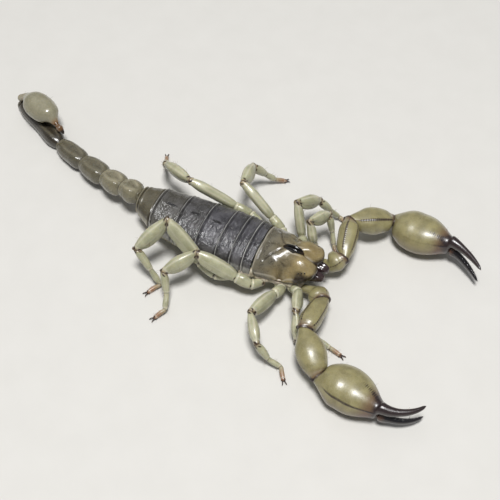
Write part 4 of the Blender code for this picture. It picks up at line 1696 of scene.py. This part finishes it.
    def eyes(self) -> None:
        """Build both eye ridges, each with its round lens, and the side eyes."""
        for side in Side:
            centre = (self.eye_centre[0], self.eye_centre[1] * side.value)
            ridge = self.dome(centre, self.eye_size, 0.10)
            lens = (centre[0] + 0.12, centre[1] + 0.10 * side.value)
            ridge.take(self.dome(lens, self.lens_size, 0.05))
            for step in range(3):
                spot = (-1.95 - 0.34 * step, (2.12 + 0.14 * step) * side.value)
                ridge.take(self.dome(spot, self.side_eye_size, 0.10))
            bmesh.ops.recalc_face_normals(ridge.mesh, faces=ridge.mesh.faces)
            nodes = (f"eye_{side.word}",)
            Piece(f"eyes_{side.word}", self.eye_material, "eye_gloss", nodes).cast(ridge.mesh)

    def jaws(self) -> None:
        """Build both jaws: a stout base and two hooked fingers."""
        for side in Side:
            node = f"chelicera_{side.word}"
            loft = Loft(node, Vector((self.front - 6.0, self.middle, 2.6)))

            def relief(place: np.ndarray, angle: np.ndarray) -> dict:
                """Grooves round the fingers' root, a fuller cheek and blunt teeth below.

                Args:
                    place: distances from the root.
                    angle: angles round the piece in radians.

                Returns:
                    The raised height and the amounts of masks.
                """
                t = place / loft.length
                under = hump(turn_from(angle, -90.0), 0.0, 26.0)
                out = -0.03 * hump(t, 0.60, 0.05) - 0.05 * rise(t, 0.6, 1.0)
                out -= 0.12 * hump(turn_from(angle, 90.0), 0.0, 24.0) * rise(t, 0.2, 0.4)
                out += 0.05 * under * beads(place, 0.3) * rise(t, 0.6, 0.7)
                slit = hump(turn_from(angle, 90.0 + 30.0 * side.value), 0.0, 9.0)
                cheek = hump(turn_from(angle, 90.0 - 34.0 * side.value), 0.0, 16.0)
                out -= 0.12 * slit * rise(t, 0.5, 0.62)
                out += 0.07 * cheek * body_share(t)
                return {"out": out, Mask.TINT: 0.25 + 0.3 * rise(t, 0.8, 1.0)}

            clay = Shell(loft, 40, 64, neck=0.1, round_end=True).build(relief)
            Piece(f"{node}_horn", self.horn, "black_horn", (node,)).cast(clay.mesh)

    def build(self) -> None:
        """Build the shield, the eyes and the jaws."""
        self.shield()
        self.eyes()
        self.jaws()


# --- trunk --------------------------------------------------------------------------
@dataclass
class BackPlate:
    """One back plate: a thin vaulted shell that laps over the next one."""

    number: int
    material: bpy.types.Material
    slot: str
    across: int = 112
    thickness: float = 0.30
    overlap: float = 0.34
    rear_swell: float = 0.12
    slice_reach: float = 0.06
    dashed: tuple[int, ...] = (4, 5, 6)
    olives: tuple[float, ...] = (0.05, 0.05, 0.05, 0.05, 0.25, 0.55, 0.6)

    def __post_init__(self) -> None:
        """Read the plate's arches from the CAD node."""
        solid = CadSolid(self.node)
        places = sorted({round(float(x), 2) for x in solid.points[:, 0]}, reverse=True)
        self.places = np.array([places[0], (places[0] + places[-1]) / 2.0, places[-1]])
        arches = [solid.across(x, self.slice_reach) for x in self.places]
        self.halves = np.array([np.ptp(a[:, 1]) / 2.0 for a in arches])
        self.middles = np.array([(a[:, 1].max() + a[:, 1].min()) / 2.0 for a in arches])
        self.edges = np.array([a[:, 2].min() for a in arches])
        self.crests = np.array([a[:, 2].max() for a in arches])
        self.length = float(self.places[0] - self.places[-1])

    @property
    def node(self) -> str:
        """The plate's CAD node."""
        return f"tergite_{self.number}"

    @staticmethod
    def read(values: np.ndarray, t: np.ndarray) -> np.ndarray:
        """Read a size given at the front, middle and rear at places from 0 to 1."""
        return np.interp(t, (0.0, 0.5, 1.0), values)

    def build(self) -> None:
        """Build the plate."""
        clay = Clay(self.across, round(10 + self.length * 9))
        turn = np.mod(clay.angle / (2.0 * math.pi) + 0.25, 1.0)
        over = turn < 0.5
        sweep = np.where(over, turn * 2.0, (1.0 - turn) * 2.0)
        inner = np.where(over, 0.0, 1.0) * rise(sweep, 0.0, 0.03) * (1.0 - rise(sweep, 0.97, 1.0))
        lap = self.overlap if self.number > 1 else 0.0
        place = clay.along * (self.length + lap) - lap
        t = np.clip(place / self.length, 0.0, 1.0)
        bow = math.pi * sweep
        c, s = np.cos(bow), np.sin(bow)
        depth = self.thickness * inner
        dip = 0.20 * rise(-place, -0.12, lap + 0.01) if lap else 0.0
        half = self.read(self.halves, t) - depth - dip
        edge = self.read(self.edges, t)
        crest = self.read(self.crests, t) - depth - dip
        outer = 1.0 - inner
        gap = self.length - place
        swell = self.rear_swell * (hump(gap, 0.09, 0.09) + 0.9 * hump(gap, 0.58, 0.16))
        swell -= 0.11 * hump(gap, 0.30, 0.09) + 0.05 * hump(place, 0.55, 0.25)
        down = rise(place, self.length - 0.08, self.length + 0.02) * 0.10
        flank = hump(np.abs(c), 0.60, 0.16) * hump(t, 0.45, 0.22)
        lift = outer * (swell - down - 0.07 * flank + 0.04 * hump(c, 0.0, 0.10) * body_share(t))
        bulge = half + 0.6 * lift * np.abs(c)
        y = self.read(self.middles, t) + bulge * np.sign(c) * np.abs(c) ** 0.85
        z = edge + (crest + lift - edge) * s**0.85 - 0.10 * rise(np.abs(c), 0.97, 1.0) * outer
        x = self.places[0] - place + 0.10 * c * c * rise(t, 0.5, 1.0)
        clay.press(np.stack([x, y, z], axis=1))
        low = rise(np.abs(c), 0.90, 0.99)
        # pale: the rear edge line and the low sides, and a faint painted highlight on the welt
        # ahead of the groove
        pale = 0.80 * hump(gap, 0.09, 0.06) + 0.6 * low * outer + 0.10 * hump(gap, 0.60, 0.10)
        # dark: painted shade where the plate tucks under the one before, on its inner face, in the
        # groove before the rear lip and in the flank dents; a dark rear edge line; the dashes
        dark = 0.55 * rise(-place, -0.30, 0.10) + 0.55 * hump(gap, 0.0, 0.03) + 0.5 * inner
        dark += 0.60 * hump(gap, 0.29, 0.08)
        dark += self.mark(c, t) + 0.30 * flank
        tint = self.olive() + 0.25 * rise(np.abs(c), 0.6, 0.95)
        clay.paint(Mask.PALE, pale)
        clay.paint(Mask.DARK, dark)
        clay.paint(Mask.TINT, tint * np.ones_like(t))
        bmesh.ops.recalc_face_normals(clay.mesh, faces=clay.mesh.faces)
        Piece(f"back_plate_{self.number}", self.material, self.slot, (self.node,)).cast(clay.mesh)

    def mark(self, c: np.ndarray, t: np.ndarray) -> np.ndarray:
        """The short dark dash on the middle line of some plates.

        Args:
            c: place across the plate, from -1 to 1.
            t: place along it, from 0 to 1.

        Returns:
            How dark the dash is at each place.
        """
        if self.number not in self.dashed:
            return np.zeros_like(t)
        return 1.1 * hump(c, 0.0, 0.028) * hump(t, 0.40, 0.25)

    def olive(self) -> float:
        """How olive the plate is: more towards the tail."""
        return self.olives[self.number - 1]


@dataclass
class Skin:
    """One soft skin: the belly, the pleats of the flanks and the folds between the hips."""

    material: bpy.types.Material
    pleat: float = 0.085
    pleat_pitch: float = 0.46
    seams: tuple[float, ...] = (1.7, 4.6, 7.4, 10.4, 13.2)
    fold_length: float = 8.0
    fold_width: float = 0.68
    fold_height: float = 0.62

    def build(self) -> None:
        """Build the skin."""
        loft = Loft("belly", Vector((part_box("belly")[1].x / MM, 0.0, 3.0)))

        def relief(place: np.ndarray, angle: np.ndarray) -> dict:
            """Pleats on the flanks and the joints of the belly plates.

            Args:
                place: distances from the root.
                angle: angles round the piece in radians.

            Returns:
                The raised height and the amounts of masks.
            """
            flank = hump(np.abs(turn_from(angle, -90.0)), 84.0, 34.0)
            wave = np.sin(2.0 * math.pi * place / self.pleat_pitch + 2.2 * np.sin(angle * 9.0))
            long = np.sin(angle * 42.0 + 1.5 * np.sin(place * 2.1))
            under = rise(-np.sin(angle), 0.45, 0.75)
            seams = under * sum(hump(place, at, 0.12) for at in self.seams)
            out = flank * self.pleat * (0.6 * wave + 0.5 * long) - 0.10 * seams
            # dark in the pleats' troughs: painted shade; dark seams: the belly plates' joints
            return {"out": out, Mask.DARK: 0.35 * flank * rise(-wave, 0.3, 1.0) + 0.3 * seams}

        clay = Shell(loft, 168, 260, neck=0.0, lip=0.0).build(relief)
        for side in Side:
            clay.take(self.flank_fold(side))
        Piece("soft_skin", self.material, "soft_skin", ("belly",)).cast(clay.mesh)

    def flank_fold(self, side: Side) -> Clay:
        """A folded roll of skin that closes the gap between the hips and the head shield.

        Args:
            side: the side that it closes.

        Returns:
            The shaped roll.
        """
        low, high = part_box("carapace")
        middle = (low.y + high.y) / (2.0 * MM)
        half = (high.y - low.y) / (2.0 * MM)
        clay = Clay(28, 150)
        t = clay.along
        x = high.x / MM - 1.2 - t * self.fold_length
        reach = half * (0.54 + 0.33 * t**0.8)
        fold = 1.0 + 0.11 * np.sin(t * 40.0 + 1.5 * np.sin(t * 9.0))
        fold += 0.07 * np.sin(t * 19.0 + 3.0 * clay.angle)
        fold *= np.sqrt(np.clip(1.0 - np.abs(2.0 * t - 1.0) ** 8, 0.0, 1.0)) + 0.02
        y = middle + side.value * reach + self.fold_width * fold * np.cos(clay.angle)
        z = 2.80 - 0.10 * t + self.fold_height * fold * np.sin(clay.angle)
        clay.press(np.stack([x, y, z], axis=1))
        clay.paint(Mask.PALE, 0.45 + 0.20 * np.sin(t * 23.0))
        bmesh.ops.recalc_face_normals(clay.mesh, faces=clay.mesh.faces)
        return clay


@dataclass
class Underside:
    """The breast plate with its hip grooves, and the two combs."""

    material: bpy.types.Material
    hip_grooves: tuple[float, ...] = (1.2, 2.6, 4.2, 5.9)
    comb_tint: float = 0.6
    tooth_count: int = 14
    tooth_length: float = 0.62
    tooth_radius: float = 0.11

    def build(self) -> None:
        """Build the breast plate and both combs."""
        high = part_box("coxosternum")[1]
        loft = Loft("coxosternum", Vector((high.x / MM, 0.0, 2.5)))

        def relief(place: np.ndarray, angle: np.ndarray) -> dict:
            """Slanting grooves between the hips and one along the middle.

            Args:
                place: distances from the root.
                angle: angles round the piece in radians.

            Returns:
                The raised height and the amounts of masks.
            """
            under = rise(-np.sin(angle), 0.2, 0.6)
            slant = place + 0.9 * np.abs(np.cos(angle))
            grooves = under * sum(hump(slant, at, 0.10) for at in self.hip_grooves)
            middle = hump(turn_from(angle, -90.0), 0.0, 5.0)
            return {"out": -0.10 * grooves - 0.08 * middle, Mask.DARK: 0.4 * grooves}

        clay = Shell(loft, 96, 110, neck=0.0, lip=0.0).build(relief)
        Piece("breast_plate", self.material, "leg_cuticle", ("coxosternum",)).cast(clay.mesh)
        for side in Side:
            self.comb(side)

    def comb(self, side: Side) -> None:
        """Build one comb: a flat spine with a row of teeth behind it.

        Args:
            side: the comb's side.
        """
        node = f"pecten_{side.word}"
        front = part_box(node)[1].x / MM
        low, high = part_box("carapace")
        centre = (low.y + high.y) / (2.0 * MM)
        loft = Loft(node, Vector((front, centre, 1.0)))
        shell = Shell(loft, 24, 40, neck=0.0, round_end=True)
        clay = shell.build(lambda place, angle: {Mask.TINT: self.comb_tint})
        for index in range(self.tooth_count):
            t = (index + 0.5) / self.tooth_count
            spot, _ = loft.point(t, -90.0)
            ahead = loft.heading(t)
            back = Vector((-abs(ahead.y), -side.value * ahead.x * 0.4, -0.1)).normalized()
            tooth = Clay(8, 5)
            reach = np.outer(tooth.along, np.array(back)) * self.tooth_length
            thick = np.sqrt(np.clip(1.0 - (2.0 * tooth.along - 1.0) ** 4, 0.02, 1.0))
            radius = self.tooth_radius * thick
            across, up = np.cos(tooth.angle), 0.6 * np.sin(tooth.angle)
            ring = np.stack([np.zeros_like(radius), across, up], axis=1)
            root = np.array(spot) + np.array((0.0, 0.0, 0.12))
            tooth.press(root + reach + ring * radius[:, None])
            clay.take(tooth)
        bmesh.ops.recalc_face_normals(clay.mesh, faces=clay.mesh.faces)
        Piece(f"comb_{side.word}", self.material, "leg_cuticle", (node,)).cast(clay.mesh)


# --- stage --------------------------------------------------------------------------
@dataclass(frozen=True)
class Lamp:
    """A soft round light; its offset and size are in metres, its power in watts."""

    name: str
    offset: tuple[float, float, float]
    size: float
    power: float

    def shine(self, target: Vector) -> None:
        """Add the light.

        Args:
            target: what it looks at; the offset starts there.
        """
        lamp = bpy.data.lights.new(self.name, "AREA")
        lamp.shape = "DISK"
        lamp.size = self.size
        lamp.energy = self.power
        holder = bpy.data.objects.new(self.name, lamp)
        offset = Vector(self.offset)
        turn = offset.to_track_quat("Z", "Y").to_matrix().to_4x4()
        holder.matrix_world = Matrix.Translation(target + offset) @ turn
        bpy.context.scene.collection.objects.link(holder)


@dataclass
class Studio:
    """A pale floor, soft lights and the camera."""

    azimuth: float = 25.44
    elevation: float = 54.63
    distance: float = 120.35
    lens: float = 69.3
    sensor: float = 36.0
    nearest: float = 0.002
    target_from_front: tuple[float, float] = (-10.69, 1.48)
    key: Lamp = Lamp("key", (0.04, -0.075, 0.41), 0.11, 1.9)
    fill: Lamp = Lamp("fill", (-0.20, 0.10, 0.40), 0.60, 0.25)
    sky: Colour = (0.92, 0.95, 1.0)
    sky_strength: float = 0.19
    floor_reach: float = 3.0
    floor_tones: tuple[Colour, Colour] = ((0.60, 0.585, 0.55), (0.64, 0.625, 0.59))
    floor_roughness: float = 0.85

    def build(self, front: float, middle: float) -> None:
        """Set the stage.

        Args:
            front: place along X of the head shield's front.
            middle: place along Y of its middle line.
        """
        ahead, aside = self.target_from_front
        target = Vector((front + ahead, middle + aside, 0.0)) * MM
        self.camera(target)
        self.floor()
        self.key.shine(target)
        self.fill.shine(target)
        bpy.context.scene.view_settings.view_transform = "Standard"
        world = bpy.data.worlds.new("studio")
        world.use_nodes = True
        backdrop = world.node_tree.nodes["Background"]
        backdrop.inputs["Color"].default_value = (*self.sky, 1.0)
        backdrop.inputs["Strength"].default_value = self.sky_strength
        bpy.context.scene.world = world

    def camera(self, target: Vector) -> None:
        """Add the camera, which looks at the target.

        Args:
            target: the place in metres that it looks at.
        """
        a, e = math.radians(self.azimuth), math.radians(self.elevation)
        back = Vector((math.sin(a) * math.cos(e), -math.cos(a) * math.cos(e), math.sin(e)))
        camera = bpy.data.cameras.new("camera")
        camera.lens = self.lens
        camera.sensor_width = self.sensor
        camera.clip_start = self.nearest
        holder = bpy.data.objects.new("camera", camera)
        turn = back.to_track_quat("Z", "Y").to_matrix().to_4x4()
        holder.matrix_world = Matrix.Translation(target + back * self.distance * MM) @ turn
        bpy.context.scene.collection.objects.link(holder)
        bpy.context.scene.camera = holder

    def floor(self) -> None:
        """Add the plain pale floor."""
        shape = bmesh.new()
        bmesh.ops.create_grid(shape, x_segments=1, y_segments=1, size=self.floor_reach)
        mesh = bpy.data.meshes.new("floor")
        shape.to_mesh(mesh)
        shape.free()
        recipe = Recipe("pale_floor")
        tone = recipe.blend(recipe.noise(4.0, 3.0), *self.floor_tones)
        inputs = {"Base Color": tone, "Roughness": self.floor_roughness}
        mesh.materials.append(recipe.finish(inputs))
        plane = bpy.data.objects.new("floor", mesh)
        bpy.context.scene.collection.objects.link(plane)


# --- finishes and hairs in use ------------------------------------------------------
PLATE_FINISH = WetPlate()
SKIN_FINISH = SoftSkin()
TAIL_FINISH = Cuticle(
    "tail_cuticle",
    light=(0.185, 0.165, 0.105),
    shade=(0.13, 0.118, 0.075),
    dark=(0.020, 0.014, 0.010),
    pale=(0.34, 0.31, 0.22),
    # tint: darker olive of the last back plate and the outer rings, and painted shadow of the bulb
    # on the fifth ring
    tint=(0.034, 0.028, 0.019),
    roughness=0.27,
)
LEG_FINISH = Cuticle(
    "leg_cuticle",
    light=(0.40, 0.395, 0.250),
    shade=(0.29, 0.288, 0.175),
    dark=(0.035, 0.018, 0.012),
    pale=(0.62, 0.58, 0.46),
    tint=(0.26, 0.13, 0.07),
    glow=0.25,
)
CLAW_FINISH = Cuticle(
    "claw_cuticle",
    light=(0.275, 0.243, 0.108),
    shade=(0.195, 0.170, 0.072),
    dark=(0.022, 0.012, 0.012),
    pale=(0.46, 0.42, 0.31),
    tint=(0.13, 0.066, 0.038),
    roughness=0.36,
    net=0.12,
    coat=0.6,
    coat_blur=0.26,
    depth=0.036,
)
BULB_FINISH = Cuticle(
    "telson_cuticle",
    light=(0.26, 0.242, 0.165),
    shade=(0.22, 0.205, 0.135),
    dark=(0.08, 0.04, 0.02),
    pale=(0.42, 0.38, 0.29),
    tint=(0.20, 0.11, 0.05),
    roughness=0.24,
    grain=0.25,
    depth=0.006,
)
SHIELD_FINISH = Cuticle(
    "carapace_shell",
    light=(0.27, 0.205, 0.085),
    shade=(0.19, 0.14, 0.055),
    dark=(0.022, 0.014, 0.008),
    pale=(0.46, 0.42, 0.34),
    tint=(0.138, 0.124, 0.088),
    roughness=0.22,
    net=0.40,
    depth=0.03,
)
BLACK_HORN = Horn("black_horn")
JAW_HORN = Horn(
    "jaw_horn",
    dark=(0.030, 0.017, 0.018),
    speckle=(0.10, 0.06, 0.06),
    root=(0.07, 0.035, 0.03),
    roughness=0.26,
)
EYE_GLOSS = Horn(
    "eye_gloss",
    dark=(0.006, 0.005, 0.005),
    speckle=(0.02, 0.016, 0.014),
    root=(0.02, 0.01, 0.01),
    roughness=0.07,
)
HAIR_HORN = Horn(
    "hair_horn",
    dark=(0.10, 0.055, 0.025),
    speckle=(0.20, 0.12, 0.06),
    root=(0.10, 0.05, 0.02),
    roughness=0.35,
)
STING_HORN = Horn(
    "sting_horn",
    dark=(0.015, 0.008, 0.005),
    speckle=(0.06, 0.03, 0.02),
    root=(0.125, 0.062, 0.022),
)

PLATE_COUNT = 7
LEG_COUNT = 4
RIDGES = {
    Side.LEFT: ((-16.0, 1.3), (34.0, 1.2)),
    Side.RIGHT: ((-45.0, 1.0), (48.0, 0.3)),
}
TAIL_TUFT = Tuft(8)
PALM_TUFT = Tuft(12, reach=0.60)
ARM_TUFT = Tuft(7, reach=0.60)
FOOT_TUFT = Tuft(12, (0.15, 0.95))
LEG_TUFT = Tuft(6, (0.15, 0.95))


def main() -> None:
    """Dress the whole animal and set the stage."""
    logging.basicConfig(level=logging.INFO, format="%(message)s")
    tail_cuticle = TAIL_FINISH.make()
    leg_cuticle = LEG_FINISH.make()
    claw_cuticle = CLAW_FINISH.make()
    black_horn = BLACK_HORN.make()
    head = Head(SHIELD_FINISH.make(), EYE_GLOSS.make(), JAW_HORN.make())
    head.build()
    plate = PLATE_FINISH.make()
    for number in range(1, PLATE_COUNT):
        BackPlate(number, plate, "back_plate").build()
    BackPlate(PLATE_COUNT, tail_cuticle, "tail_cuticle").build()
    Skin(SKIN_FINISH.make()).build()
    Underside(leg_cuticle).build()
    bristles = Bristles(HAIR_HORN.make())
    tail = Tail(tail_cuticle, BULB_FINISH.make(), STING_HORN.make())
    tail.build()
    for loft in tail.lofts:
        bristles.plant(loft, TAIL_TUFT)
    for side in Side:
        pincer = Pincer(side, claw_cuticle, black_horn, *RIDGES[side])
        pincer.build()
        for part, loft in pincer.lofts.items():
            bristles.plant(loft, PALM_TUFT if part == "palm" else ARM_TUFT)
        for number in range(1, LEG_COUNT + 1):
            leg = Leg(side, number, leg_cuticle)
            leg.build()
            for part, loft in leg.lofts.items():
                bristles.plant(loft, FOOT_TUFT if part == "foot" else LEG_TUFT)
    bristles.cast()
    Studio().build(head.front, head.middle)


if __name__ == "__main__":
    main()
